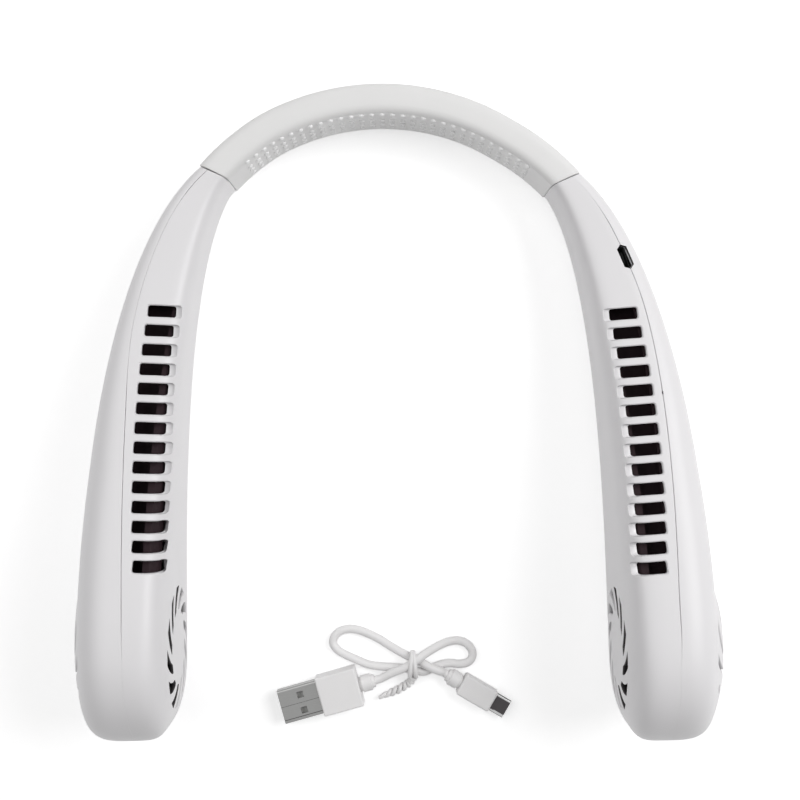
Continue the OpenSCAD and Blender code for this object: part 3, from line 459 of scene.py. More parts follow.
def to_object(name, bm, shift=(0.0, 0.0), mark=None, smooth_faces=True):
    """Makes an object in metres of a bmesh in millimetres."""
    bmesh.ops.transform(bm, matrix=Matrix.Scale(MM, 4) @ Matrix.Translation((*shift, 0)), verts=bm.verts)
    normals = [tuple(v[mark]) for v in bm.verts] if mark is not None else None
    if mark is not None:
        bm.verts.layers.float_vector.remove(mark)
    mesh = bpy.data.meshes.new(name)
    bm.to_mesh(mesh)
    bm.free()
    mesh.polygons.foreach_set("use_smooth", [smooth_faces] * len(mesh.polygons))
    if normals is not None:
        mesh.normals_split_custom_set_from_vertices(normals)
    obj = bpy.data.objects.new(name, mesh)
    bpy.context.scene.collection.objects.link(obj)
    return obj


def skin_normals(flat):
    """True outward directions of an arm's skin at flat points without depth, and nothing elsewhere."""
    a, b = 0.05, 0.3
    x, y = flat[:, 0], flat[:, 1] / FLAT
    n = np.cross(on_arm(x, y + b) - on_arm(x, y - b), on_arm(x + a, y) - on_arm(x - a, y))
    size = np.linalg.norm(n, axis=1)
    n /= np.maximum(size, 1e-9)[:, None]
    n[(np.abs(flat[:, 2]) > 1e-4) | (size < 1e-6) | (x > TIP_RUN - 1.2)] = 0
    return n


def joint_shift(share, right):
    """Shift along the arm at the joint with the band, for a place from -1 (inner side) to 1 (outer side)."""
    outer, inner = JOINT_LEAN[right]
    return mix(inner, outer, (np.clip(share, -1, 1) + 1) / 2)


def arm_place(flat, right):
    """Place of flat points. Near the band the runs shift, so that the joint leans as on the real part."""
    run, angle = flat[:, 0], flat[:, 1] / FLAT
    c, s = np.cos(np.radians(angle)), np.sin(np.radians(angle))
    share = c / (np.abs(c) ** SQUARE_E + np.abs(s) ** SQUARE_E) ** (1 / SQUARE_E)
    fall = np.maximum(1 - run / JOINT_REACH, 0) ** 2
    return on_arm(run + joint_shift(share, right) * fall, angle, -flat[:, 2])


def run_lines(right):
    """Runs at which the skin of an arm has a line of vertices."""
    lines = list(np.arange(LINE_START, ARM_RUN - 0.5, LINE_PITCH)) + JOINT_LINES
    lines += list(ARM_RUN + HEAD_R * np.radians(HEAD_LINES))
    if right:
        cuts = ((PORT_RUN, PORT_HALF, PORT_POINT), (NOTCH_RUN, NOTCH_HALF, NOTCH_POINT))
        marks = [middle + way * far for middle, half, point in cuts
                 for way in (-1, 1) for far in (half, half - point)]
        lines = [x for x in lines if min(abs(x - m) for m in marks) > 0.5] + marks
    return np.array(sorted(lines))


def half_shell(sizes, side, right, groups):
    """Flat skin of one half of an arm with its holes, a second skin below it and the walls between them.

    side is -1 for the inner half and 1 for the outer one. Each group is the zone that its holes lie in, the
    holes, each a list of rings with its outline first, and for each hole the looks of its rows of faces."""
    r, gap, wall = sizes.edge / MM, sizes.seam_gap / MM / 2, sizes.wall / MM
    lines = run_lines(right)
    plain = seam_faint(lines, right)

    def edge(back, inset, room):
        n = seam_at(lines, right) + side * ((gap + back) * plain + room * seam_room(lines, right))
        limit = SEAM_REACH * np.maximum(arm_frame(lines, inset)[2], 1e-3)
        return angle_across(lines, np.clip(n, -limit, None), inset)

    def span(back, inset=0.0):
        """Angles at which this half starts and ends. Only the upper seam makes room for the charging port."""
        upper, lower = edge(back, inset, 1), edge(back, inset, 0)
        return (upper, 360 - lower) if side < 0 else (-lower, upper)

    first, middle, rest = SHELL_LINES[side]
    share = np.concatenate([np.linspace(*first), np.arange(*middle), np.linspace(*rest)]) / (2 * rest[1])
    share = np.concatenate([share, 1 - share[-2::-1]])
    low, high = span(r)
    bm = bmesh.new()
    last_run, last = len(lines) - 1, len(share) - 1
    spots = {}
    for v in bmesh.ops.create_grid(bm, x_segments=last_run, y_segments=last, size=0.5)["verts"]:
        i, j = round((v.co.x + 0.5) * last_run), round((v.co.y + 0.5) * last)
        spots[v] = (i, j)
        v.co = (lines[i], mix(low[i], high[i], share[j]) * FLAT, 0)
    chain = sorted((v for v, (i, j) in spots.items() if j == 0), key=lambda v: -v.co.x)
    chain += sorted((v for v, (i, j) in spots.items() if i == 0 and 0 < j < last), key=lambda v: v.co.y)
    chain += sorted((v for v, (i, j) in spots.items() if j == last), key=lambda v: v.co.x)
    order = [spots[v] for v in chain]
    loops, holes, looks = [], [], []
    for zone, group, group_looks in groups:
        loops += open_holes(bm, zone, [rings[0][:, :2] for rings in group])
        holes += group
        looks += group_looks
    below = second_skin(bm, wall)
    inner_rim = [below[v] for v in chain]
    for ring, rings in zip(loops, holes):
        for v, p in zip(ring, rings[-1]):
            below[v].co = p
    for ring, rings, look in zip(loops, holes, looks):
        sink(bm, ring, [[tuple(p) for p in points] for points in rings[1:]], look)
    # The edge along the seam and at the band, rounded and run down to the inner skin
    for back, drop in ((0.3 * r, 0.3 * r * plain), (0.0, r * plain), (0.0, wall + 0 * plain)):
        low, high = span(back, drop)
        rim = [(lines[i] - (r - back if i == 0 else 0), mix(low[i], high[i], share[j]) * FLAT, -drop[i])
               for i, j in order]
        chain = sink(bm, chain, [rim])
    for v, p in zip(inner_rim, rim):
        v.co = p
    # The seam's walls around the charging port are painted near-black as painted shade.
    if right:
        for f in bm.faces:
            at = f.calc_center_median()
            port_wall_in_shade = -wall + 0.05 < at.z < -0.5 * r and at.y / FLAT > 45
            if port_wall_in_shade and abs(at.x - PORT_RUN) < PORT_HALF + 0.2:
                f.material_index = PAINTED_SHADE
    return bm


def slot_rings(k, sizes, right):
    """Rings of one air slot: a soft rim, a sloping ledge at its inner end, and the slot through the wall."""
    q = k / (SLOTS - 1)
    w, n, along = slot_spot(q, right)
    run = SLOT_START + k * SLOT_PITCH + along
    deep, wall, h = sizes.ledge_depth / MM, sizes.wall / MM, SLOT_H / 2
    _, out, inner = arm_frame(run, 0.0)[:3]
    ledge = min(sizes.ledge / MM, n - w + SLOT_REACH * float(inner))
    tilt = math.atan2(out[1], out[0]) - math.radians(mix(*SLOT_LEAN, q * q))
    wide = rounded(-w - ledge, w + SLOT_LIP, -h - SLOT_LIP, h + SLOT_LIP, LIP_CORNER, *SLOT_STEPS)
    slot = rounded(-w, w, -h, h, SLOT_CORNER, *SLOT_STEPS)

    def ring(points, depth):
        x, y = points[:, 0], points[:, 1]
        a = n + x * math.cos(tilt) - y * math.sin(tilt)
        s = run + x * math.sin(tilt) + y * math.cos(tilt)
        depth = np.broadcast_to(depth, x.shape).astype(float)
        return np.stack([s, angle_across(s, a, depth) * FLAT, -depth], 1)

    slope = np.clip((wide[:, 0] + w + ledge) / ledge, 0, 1)
    wide_floor = np.where(wide[:, 0] < -w + 0.2, mix(LEDGE_START, deep, slope), SLOT_SHALLOW)
    slot_floor = np.where(slot[:, 0] < -w + 0.75, deep, SLOT_SHALLOW)
    return [ring(grow(wide, d), depth) for d, depth in SLOT_RIM] + [
        ring(wide, wide_floor), ring(grow(slot, 0.08), slot_floor + 0.01), ring(slot, slot_floor + 0.1),
        ring(slot, wall)]


def side_rings(outline, side, rim, wall):
    """Rings of a hole in the head's side, given in side view about the head's middle."""
    rings = []
    for d, depth in (*rim, (0, wall)):
        p = grow(outline, d)
        run, angle = head_spot(p[:, 0] + HEAD_Y, p[:, 1] + HEAD_R, side, depth)
        rings.append(np.stack([run, angle * FLAT, np.full(len(p), -float(depth))], 1))
    return anticlockwise(rings)


def button_rings(run, r, wall):
    """Rings of a round hole for the button or a light, at a run of the arm's outer side."""
    f = np.radians(np.arange(0, 360, 10 if r > 2 else 24))
    ends = on_arm(np.array([run - 1.0, run + 1.0]), np.zeros(2))
    stretch = np.linalg.norm(ends[1] - ends[0]) / 2
    rings = []
    for d, depth in (*BUTTON_RIM, (0, wall)):
        s = run + (r + d) * np.cos(f) / stretch
        z = BUTTON_UP + (r + d) * np.sin(f)
        _, _, _, _, mid, high, power = arm_frame(s, depth)
        q = (z - mid) / high
        x = (1 - np.abs(q) ** power) ** (1 / power)
        rings.append(np.stack([s, np.degrees(np.arctan2(q, x)) * FLAT, np.full(len(f), -float(depth))], 1))
    return anticlockwise(rings)


def length_of(name, text, value, low, high):
    return bpy.props.FloatProperty(name=name, description=text, default=value, min=low, max=high,
                                   subtype="DISTANCE", unit="LENGTH", precision=5)


def colour_of(name, text, value):
    return bpy.props.FloatVectorProperty(name=name, description=text, default=value, size=3, min=0.0, max=1.0,
                                         subtype="COLOR")


class FanShellSizes(bpy.types.PropertyGroup):
    wall: length_of("Wall", "Thickness of the shells", 0.0018, 0.001, 0.0025)
    edge: length_of("Edge rounding", "Radius of the shells' edges along the seam", 0.0002, 0.00005, 0.0006)
    seam_gap: length_of("Seam gap", "Gap between the two shells of an arm", 0.00014, 0.0, 0.0005)
    ledge: length_of("Ledge length", "Length of the ledge at each slot's inner end", 0.0019, 0.0008, 0.003)
    ledge_depth: length_of("Ledge depth", "Depth of the ledge where the slot starts", 0.0012, 0.0005, 0.0015)
    grille_foot: length_of("Grille foot", "Radius at which the dome meets the shell", 0.0262, 0.0255, 0.0275)


class FanSleeveSizes(bpy.types.PropertyGroup):
    corner: length_of("Corner", "Corner radius of the sleeve", 0.003, 0.001, 0.004)
    dot_pitch: length_of("Dot pitch", "Distance between the raised dots", 0.0035, 0.0025, 0.006)
    dot_d: length_of("Dot diameter", "Diameter of each raised dot", 0.0020, 0.0008, 0.0026)
    dot_h: length_of("Dot height", "Height of each raised dot", 0.0008, 0.0002, 0.0012)


class FanCableSizes(bpy.types.PropertyGroup):
    cord_d: length_of("Cord diameter", "Diameter of the charging cord", 0.003, 0.002, 0.0035)
    tie_d: length_of("Tie thickness", "Diameter of the twist tie's strand", 0.0014, 0.0006, 0.0016)


class FanColours(bpy.types.PropertyGroup):
    shell: colour_of("Shell", "Moulded plastic of the arms", (0.80, 0.788, 0.80))
    sleeve: colour_of("Sleeve", "Silicone of the neck band", (0.83, 0.825, 0.82))
    cable: colour_of("Cable", "Cord and grips", (0.87, 0.86, 0.86))
    dark: colour_of("Duct", "Dark plastic behind the slots", (0.019, 0.011, 0.013))
    steel: colour_of("Steel", "Bright sheet steel of the plugs", (0.36, 0.36, 0.355))
    copper: colour_of("Copper", "Windings and contacts", (0.75, 0.33, 0.15))
    board: colour_of("Board", "Circuit board", (0.02, 0.12, 0.05))
    cell: colour_of("Cell", "Wrap of the battery cells", (0.05, 0.16, 0.42))


class FanStage(bpy.types.PropertyGroup):
    height: length_of("Camera height", "Height of the camera above the surface", 0.440, 0.2, 1.5)
    lens: bpy.props.FloatProperty(name="Lens", description="Focal length", default=55.67, min=20, max=120,
                                  subtype="DISTANCE_CAMERA")
    turn: bpy.props.FloatProperty(name="Camera turn", description="Turn of the picture", min=-0.2, max=0.2,
                                  default=math.radians(-1.21), subtype="ANGLE", unit="ROTATION")
    sky: bpy.props.FloatProperty(name="Soft light", description="Strength of the light from all round",
                                 default=0.32, min=0.0, max=2.0)
    key: bpy.props.FloatProperty(name="Key light", description="Strength of the large lamps", default=1.0,
                                 min=0.0, max=3.0)


# Materials

def add_node(tree, kind, values=None, **settings):
    """A node with its settings, and values for its inputs by name or number."""
    node = tree.nodes.new(kind)
    for name, value in settings.items():
        setattr(node, name, value)
    for socket, value in (values or {}).items():
        node.inputs[socket].default_value = value
    return node


def link(tree, *pairs):
    for give, take in pairs:
        tree.links.new(give, take)


def grain_group():
    """Node group: mottled colour, roughness and a fine height over the surface."""
    name = "Fine grain"
    if name in bpy.data.node_groups:
        return bpy.data.node_groups[name]
    g = bpy.data.node_groups.new(name, "ShaderNodeTree")
    for label, kind, value in (("Colour", "Color", (0.8, 0.8, 0.8, 1)),
                               ("Second colour", "Color", (0.75, 0.75, 0.75, 1)),
                               ("Stretch", "Vector", (1, 1, 1)), ("Mottle scale", "Float", 90),
                               ("Grain scale", "Float", 4000), ("Roughness", "Float", 0.4),
                               ("Spread", "Float", 0.1)):
        socket = g.interface.new_socket(label, in_out="INPUT", socket_type="NodeSocket" + kind)
        socket.default_value = value
    for label, kind in (("Colour", "Color"), ("Roughness", "Float"), ("Height", "Float")):
        g.interface.new_socket(label, in_out="OUTPUT", socket_type="NodeSocket" + kind)
    give, take = add_node(g, "NodeGroupInput"), add_node(g, "NodeGroupOutput")
    where = add_node(g, "ShaderNodeTexCoord")
    stretch = add_node(g, "ShaderNodeVectorMath", operation="MULTIPLY")
    mottle = add_node(g, "ShaderNodeTexNoise", {"Detail": 4})
    grain = add_node(g, "ShaderNodeTexNoise", {"Detail": 2})
    blend = add_node(g, "ShaderNodeMix", data_type="RGBA")
    spread = add_node(g, "ShaderNodeMath", {1: 0.5}, operation="SUBTRACT")
    rough = add_node(g, "ShaderNodeMath", operation="MULTIPLY_ADD")
    link(g, (where.outputs["Object"], stretch.inputs[0]), (give.outputs["Stretch"], stretch.inputs[1]),
         (stretch.outputs[0], mottle.inputs["Vector"]), (stretch.outputs[0], grain.inputs["Vector"]),
         (give.outputs["Mottle scale"], mottle.inputs["Scale"]),
         (give.outputs["Grain scale"], grain.inputs["Scale"]),
         (mottle.outputs["Fac"], blend.inputs[0]), (give.outputs["Colour"], blend.inputs[6]),
         (give.outputs["Second colour"], blend.inputs[7]), (blend.outputs[2], take.inputs["Colour"]),
         (mottle.outputs["Fac"], spread.inputs[0]), (spread.outputs[0], rough.inputs[0]),
         (give.outputs["Spread"], rough.inputs[1]), (give.outputs["Roughness"], rough.inputs[2]),
         (rough.outputs[0], take.inputs["Roughness"]), (grain.outputs["Fac"], take.inputs["Height"]))
    return g


def finish_of(name, colour, second=None, rough=0.4, spread=0.1, metal=0.0, stretch=(1, 1, 1), mottle=90.0,
              grain=4000.0, bump=0.1, depth=0.00005, sheen=0.0, coat=0.0, gloss=0.5, bands=()):
    """A material with the fine grain on it, and with bands where they are given."""
    if name in bpy.data.materials:
        return bpy.data.materials[name]
    m = bpy.data.materials.new(name)
    m.use_nodes = True
    tree = m.node_tree
    tree.nodes.clear()
    second = second or tuple(c * 0.955 for c in colour)
    out = add_node(tree, "ShaderNodeOutputMaterial")
    shader = add_node(tree, "ShaderNodeBsdfPrincipled", {"Metallic": metal, "Sheen Weight": sheen,
                                                         "Coat Weight": coat, "Specular IOR Level": gloss})
    group = add_node(tree, "ShaderNodeGroup", {
        "Colour": (*colour, 1), "Second colour": (*second, 1), "Stretch": stretch, "Mottle scale": mottle,
        "Grain scale": grain, "Roughness": rough, "Spread": spread}, node_tree=grain_group())
    relief = add_node(tree, "ShaderNodeBump", {"Strength": bump, "Distance": depth})
    link(tree, (group.outputs["Colour"], shader.inputs["Base Color"]),
         (group.outputs["Roughness"], shader.inputs["Roughness"]),
         (group.outputs["Height"], relief.inputs["Height"]),
         (relief.outputs["Normal"], shader.inputs["Normal"]),
         (shader.outputs["BSDF"], out.inputs["Surface"]))
    if bands:
        add_bands(tree, shader, relief, *bands)
    return m


def add_bands(tree, shader, relief, direction, scale, first, second):
    """Fine bands of two colours, for windings, laminations and printed tracks."""
    where = add_node(tree, "ShaderNodeTexCoord")
    wave = add_node(tree, "ShaderNodeTexWave", {"Scale": scale, "Distortion": 0.4}, bands_direction=direction)
    blend = add_node(tree, "ShaderNodeMix", data_type="RGBA")
    blend.inputs[6].default_value = (*first, 1)
    blend.inputs[7].default_value = (*second, 1)
    link(tree, (where.outputs["Object"], wave.inputs["Vector"]), (wave.outputs["Fac"], blend.inputs[0]),
         (blend.outputs[2], shader.inputs["Base Color"]), (wave.outputs["Fac"], relief.inputs["Height"]))


def tinted(name, colour, share, shade, **settings):
    """A finish in a share of one of the panel's colours, mottled with a shade of the same colour."""
    c = getattr(bpy.context.scene.fan_colours, colour)
    first = tuple(min(1.0, x * share) for x in c)
    return finish_of(name, first, tuple(x * shade for x in c) if shade else None, **settings)


def shell_plastic():
    return tinted("shell_plastic", "shell", 1, 0.975, rough=0.42, spread=0.06, mottle=60, grain=5200,
                  bump=0.12, depth=0.00004)


def shell_looks():
    """Materials of a shell, by their indices: skin, a lighter and glossier copy of it that is painted
    highlight on the slots' ledges and walls, and near-black painted shade inside.
    """
    ledge = tinted("ledge_plastic", "shell", 1.04, 1, rough=0.3, spread=0.05, mottle=80, grain=5200,
                   bump=0.05, depth=0.00003)
    return [shell_plastic(), ledge, shade_plastic()]


# Near-black plastic. On the shells it is painted shade in the port and the upper swirl slots. On the plugs'
# metal it is painted shade, a painted dark reflection and a dark joint.
def shade_plastic():
    return finish_of("shade_plastic", (0.035, 0.03, 0.032), (0.06, 0.055, 0.058), rough=0.5, mottle=120)


def sleeve_looks():
    """Materials of the sleeve, by their indices: skin, and lighter copies of it that are painted light on the
    inner wall and a painted highlight on the dots.
    """
    return [tinted("sleeve_silicone", "sleeve", 1, 0.97, rough=0.62, spread=0.08, mottle=70, grain=6500,
                   bump=0.15, depth=0.00003, sheen=0.45),
            tinted("wall_silicone", "sleeve", 1.19, 0, rough=0.75, mottle=200, grain=6500, sheen=0.9),
            tinted("dot_silicone", "sleeve", 1.3, 0, rough=0.75, mottle=200, grain=6500, sheen=1.0)]


def cable_plastic():
    return tinted("cable_plastic", "cable", 1, 0.96, rough=0.5, spread=0.1, mottle=140, grain=4200, bump=0.12,
                  depth=0.00004)


def bright_steel():
    return tinted("bright_steel", "steel", 1, 0.8, rough=0.34, spread=0.2, metal=1.0, stretch=(1, 14, 1),
                  mottle=700, grain=3000, bump=0.1, depth=0.00003)


def plug_looks():
    """Materials of a plug's metal, by their indices: sheet, a brighter copy that is painted highlight, and
    near-black for painted shade, a painted dark reflection and a dark joint.
    """
    # A brighter, glossier copy of the steel, used as a painted highlight.
    bright = finish_of("window_steel", (0.72, 0.72, 0.72), (0.62, 0.62, 0.62), rough=0.25, spread=0.1,
                       metal=0.6, mottle=300)
    return [bright_steel(), bright, shade_plastic()]


def dress(obj, materials, body, slot, node):
    """Gives a piece its materials, and says what it rides on and which node it replaces. Its slot is not
    used.
    """
    for material in materials:
        obj.data.materials.append(material)
    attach(obj, body)
    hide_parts(node)


def make_shell(kind, way, side, right, sizes, groups):
    """One shell of an arm, shaped flat, moved to its place and dressed. way is -1 for inner, 1 for outer."""
    bm = half_shell(sizes, way, right, groups)
    mark = finish_mesh(bm, lambda flat: arm_place(flat, right), skin_normals, not right)
    obj = to_object(f"{kind}_{side}", bm, ARM_SHIFT[right], mark)
    dress(obj, shell_looks(), side + "_arm", "shell", f"{side}_{kind}")


class FAN_OT_inner_shells(bpy.types.Operator):
    """Inner shells with their air slots, ledges and swirl inlets"""
    bl_idname = "fan.inner_shells"
    bl_label = "Inner shells"

    def execute(self, context):
        sizes = context.scene.fan_shell
        wall = sizes.wall / MM
        swirls = [side_rings(swirl_outline(k, *INLET_SWIRL), -1, SWIRL_RIM, wall) for k in range(SWIRLS)]
        # The walls of the upper swirl slots are painted near-black as painted shade.
        swirl_walls = [(PLAIN, PLAIN, PAINTED_SHADE if k in SHADE_PAINTED_SWIRLS else PLAIN) for k in range(SWIRLS)]
        # The slots' ledges and walls get the lighter, glossier copy of the plastic as a painted highlight.
        slot_walls = [(PLAIN, LEDGE_HIGHLIGHT, LEDGE_HIGHLIGHT, LEDGE_HIGHLIGHT, LEDGE_HIGHLIGHT, PLAIN)] * SLOTS

        def swirl_zone(p):
            return 90 < p.y / FLAT < 270 and on_head(p, SWIRL_ROOM, SWIRL_BACK)

        for side, right in SIDES:
            slots = [anticlockwise(slot_rings(k, sizes, right)) for k in range(SLOTS)]
            make_shell("inner_shell", -1, side, right, sizes, [
                (lambda p: in_slot_row(p, right), slots, slot_walls), (swirl_zone, swirls, swirl_walls)])
        return {"FINISHED"}


class FAN_OT_outer_shells(bpy.types.Operator):
    """Outer shells with the hole below the grille, and the holes for the button and the battery lights"""
    bl_idname = "fan.outer_shells"
    bl_label = "Outer shells"

    def execute(self, context):
        sizes = context.scene.fan_shell
        wall = sizes.wall / MM
        f = np.radians(np.arange(0, 360, 5))
        inlet = side_rings(INLET_R * np.stack([np.cos(f), np.sin(f)], 1), 1, [(0, 0)], wall)
        buttons = [button_rings(run, radius, wall) for run, radius in BUTTON_HOLES]

        def inlet_zone(p):
            return on_head(p, INLET_ROOM, INLET_BACK)

        def button_zone(p):
            start, stop, over = BUTTON_ZONE
            return start < p.x < stop and abs(p.y / FLAT) < over

        for side, right in SIDES:
            groups = [(inlet_zone, [inlet], [(PLAIN,)])]
            if right:
                groups.append((button_zone, buttons, [()] * len(buttons)))
            make_shell("outer_shell", 1, side, right, sizes, groups)
        return {"FINISHED"}


def grille_height(y, z, foot, right):
    """Height of the domed grille over the middle of the head, blended down onto the shell at its foot. The
    left one keeps a short step on the side of the band."""
    r = np.hypot(y, z)
    dome = DOME[right] * np.sqrt(1 - (z / DOME_UP) ** 2 - (y / DOME_ALONG) ** 2)
    shell = on_arm(*head_spot(y + HEAD_Y, z + HEAD_R, 1))[..., 0] - HEAD_X
    start = mix(DOME_START, DOME_BACK_START[right], ramp(y / np.maximum(r, 0.1), 0.1, 0.8))
    return mix(dome, shell - GRILLE_FOOT_DROP, smooth((r - start) / (foot - start)))


class FAN_OT_grilles(bpy.types.Operator):
    """Domed outer grilles with their swirl slots"""
    bl_idname = "fan.grilles"
    bl_label = "Outer grilles"

    def execute(self, context):
        sizes = context.scene.fan_shell
        foot, wall = sizes.grille_foot / MM, sizes.wall / MM
        outlines = [swirl_outline(k, *GRILLE_SWIRL) for k in range(SWIRLS)]

        def place(flat):
            n = grille_height(flat[:, 0], flat[:, 1], foot, right) + flat[:, 2]
            return np.stack([HEAD_X + n, flat[:, 0] + HEAD_Y, flat[:, 1] + HEAD_R], 1)

        def skin(flat):
            h = 0.1
            y, z = flat[:, 0], flat[:, 1]
            dy = (grille_height(y + h, z, foot, right) - grille_height(y - h, z, foot, right)) / (2 * h)
            dz = (grille_height(y, z + h, foot, right) - grille_height(y, z - h, foot, right)) / (2 * h)
            n = np.stack([np.ones(len(y)), -dy, -dz], 1)
            n /= np.linalg.norm(n, axis=1)[:, None]
            n[np.abs(flat[:, 2]) > 1e-4] = 0
            return n

        for side, right in SIDES:
            bm = bmesh.new()
            rim = bmesh.ops.create_circle(bm, segments=120, radius=foot)["verts"]
            unit = [v.co / foot for v in rim]
            inner = sink(bm, rim, [[tuple(u * mix(foot, GRILLE_PLAIN_R, q)) for u in unit]
                                   for q in GRILLE_SHARES])
            hub_r = [share * SWIRL_IN for share in HUB_SHARES]
            hub = bmesh.ops.create_circle(bm, segments=36, radius=hub_r[0])["verts"]
            hub_unit = [v.co / hub_r[0] for v in hub]
            loops = fill_between(bm, loop_edges(inner) + loop_edges(hub),
                                 [grow(p, GRILLE_RIM_OUT) for p in outlines])
            end = sink(bm, hub, [[tuple(u * r) for u in hub_unit] for r in hub_r[1:]])
            bmesh.ops.edgeloop_fill(bm, edges=loop_edges(end))
            below = second_skin(bm, wall)
            for ring, outline in zip(loops, outlines):
                for v, (x, y) in zip(ring, outline):
                    below[v].co = (x, y, -wall)
                sink(bm, ring, [[(x, y, -depth) for x, y in grow(outline, d)]
                                for d, depth in (*GRILLE_RIM, (0, wall))])
            sink(bm, rim, [[tuple(v.co - Vector((0, 0, wall))) for v in rim]])
            mark = finish_mesh(bm, place, skin, not right)
            obj = to_object("outer_grille_" + side, bm, ARM_SHIFT[right], mark)
            dress(obj, [shell_plastic()], side + "_arm", "shell", side + "_outer_grille")
        return {"FINISHED"}


def band_point(angle, out, z, right):
    """Point of the band at an angle from its middle and out from its centre line, as the band lies."""
    f = math.radians(angle)
    x, y = (BAND_R + out) * math.sin(f) * (1 if right else -1), BAND_CY + (BAND_R + out) * math.cos(f)
    c, s = math.cos(LIE), math.sin(LIE)
    dy = y - BEND_Y
    with_middle = np.array((x * c + dy * s, -x * s + dy * c + BEND_Y + LIE_Y))
    with_arm = np.array((x, y)) + ARM_SHIFT[right]
    p = mix(with_middle, with_arm, float(ramp(angle, BEND - BEND_MIX, 2 * BEND_MIX)))
    return Vector((p[0], p[1], z))


class FAN_OT_sleeve(bpy.types.Operator):
    """Soft sleeve of the neck band with its raised dots, in a right and a left half"""
    bl_idname = "fan.sleeve"
    bl_label = "Neck sleeve"

    def execute(self, context):
        sizes = context.scene.fan_sleeve
        corner, half = sizes.corner / MM, BAND_T / 2
        outline = rounded(-half, half, 0, BAND_H, corner, 3, 10)
        stations = [(BAND_END * k / SLEEVE_RINGS, 0) for k in range(1, SLEEVE_RINGS)] + list(SLEEVE_LIP)
        for side, right in SIDES:
            bm = bmesh.new()
            ring = ring_of(bm, [(x, 0, z) for x, z in outline])
            bmesh.ops.edgeloop_fill(bm, edges=loop_edges(ring))
            for e in loop_edges(ring):
                e.smooth = False
            end = sink(bm, ring, [[(x, angle, z) for x, z in grow(outline, -d)] for angle, d in stations])
            bmesh.ops.edgeloop_fill(bm, edges=loop_edges(end))
            for v in bm.verts:
                shift = float(joint_shift(v.co.x / half, right)) * ramp(v.co.y, BEND, BAND_END - BEND)
                v.co = band_point(v.co.y + math.degrees(shift / BAND_R), v.co.x, v.co.z, right)
            bmesh.ops.recalc_face_normals(bm, faces=bm.faces)
            # The inner wall gets a lighter copy of the silicone, and the dots an even lighter one, as painted
            # light.
            looks = {}
            for f in bm.faces:
                at = f.calc_center_median()
                out = math.hypot(at.x, at.y - BAND_CY - LIE_Y) - BAND_R
                looks[f] = LIT_WALL if out < WALL_OUT - half and at.z < BAND_H - WALL_DOWN else SKIN
            self.add_dots(bm, sizes, corner, half, right)
            for f in bm.faces:
                f.material_index = looks.get(f, LIT_DOT)
            obj = to_object("neck_sleeve_" + side + "_half", bm)
            for material in sleeve_looks():
                obj.data.materials.append(material)
            start, end = (band_point(BEND + way * BEND_HALF, 0, BAND_H / 2, right) * MM for way in (-1, 1))
            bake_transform(obj)
            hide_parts("neck_sleeve_" + side, *(["neck_sleeve_middle"] if right else []))
        return {"FINISHED"}

    def add_dots(self, bm, sizes, corner, half, right):
        pitch, d, h = sizes.dot_pitch / MM, sizes.dot_d / MM, sizes.dot_h / MM
        step = math.degrees(pitch / (BAND_R - half))
        for k in range(int(DOTS_END / step - 0.5) + 1):
            angle = step * (k + 0.5)
            for row, (lower, share) in enumerate(DOT_ROWS):
                z = BAND_H - corner - lower * pitch
                tilt = math.radians(0 if row else TOP_ROW_TILT)
                out = -half + corner * (1 - math.cos(tilt))
                at = band_point(angle, out, z, right)
                inward = (band_point(angle, out - 1, z, right) - at).normalized()
                normal = (inward * math.cos(tilt) + Vector((0, 0, math.sin(tilt)))).normalized()
                turn = normal.to_track_quat("Z", "Y").to_matrix().to_4x4()
                size = Matrix.Diagonal((d / 2, d / 2, h * share, 1))
                bmesh.ops.create_uvsphere(bm, u_segments=8, v_segments=6, radius=1,
                                          matrix=Matrix.Translation(at) @ turn @ size)


# Cable. Each plug: place of its grip's end, turn in degrees and height of its middle
LARGE_PLUG, SMALL_PLUG = ((-27.9, -99.9), 14.5, 4.0), ((21.9, -96.5), -31.4, 3.0)
CORD_ROUTE = ((-3, -92.5, 4.8), (0.5, -91, 5.5), (3, -89.8, 5.9), (6.5, -87.5, 6), (9, -86, 5),
              (12, -84.5, 3.4), (15.5, -83, 2), (19, -82, 1.5), (22.5, -82.2, 1.5), (25.2, -84, 1.5),
              (26.3, -86.8, 1.5), (25.2, -89.2, 1.5), (22, -90.2, 1.5), (18, -89.8, 1.5), (15, -90.3, 1.5),
              (12, -91.4, 1.7), (9, -92.5, 2.4), (5, -91.7, 2.8), (1.5, -91, 2.5), (-3, -90.7, 1.9),
              (-7, -90.4, 1.5), (-11, -89.6, 1.5), (-15.3, -87.7, 1.5), (-18.9, -86, 1.5), (-22, -83.8, 1.5),
              (-23, -81.5, 1.5), (-21.8, -78.8, 1.5), (-18.8, -77.2, 1.5), (-15, -77.2, 1.5),
              (-11, -78.6, 1.5), (-7, -80.6, 1.5), (-3, -83.2, 1.7), (1, -85.5, 2.4), (5, -87.6, 2.8),
              (7, -88.5, 2.9), (9, -89.5, 3.8), (11, -90.5, 4.6), (13, -91.4, 4.8), (14.8, -92.2, 4.2))
# Each grip: its plug, length, width and height of its block, edge radius, and start and length of its relief
LARGE_GRIP = (LARGE_PLUG, 14.5, 13.8, 7.9, 0.6, 14.5, 5.8)
SMALL_GRIP = (SMALL_PLUG, 13, 8, 5.9, 0.9, 0, -5.65)
# Relief at the cord's end of each grip: how far along and radius, and the radius at its end
RELIEF = ((-0.4, 2.5), (0.9, 2.5), (0.92, 2.55), (1.0, 2.95), (1.1, 3.0), (4.2, 3.0), (4.3, 2.95),
          (4.35, 2.6), (4.4, 2.4), (5.4, 2.3), (5.6, 2.1))
RELIEF_END_R = 1.6
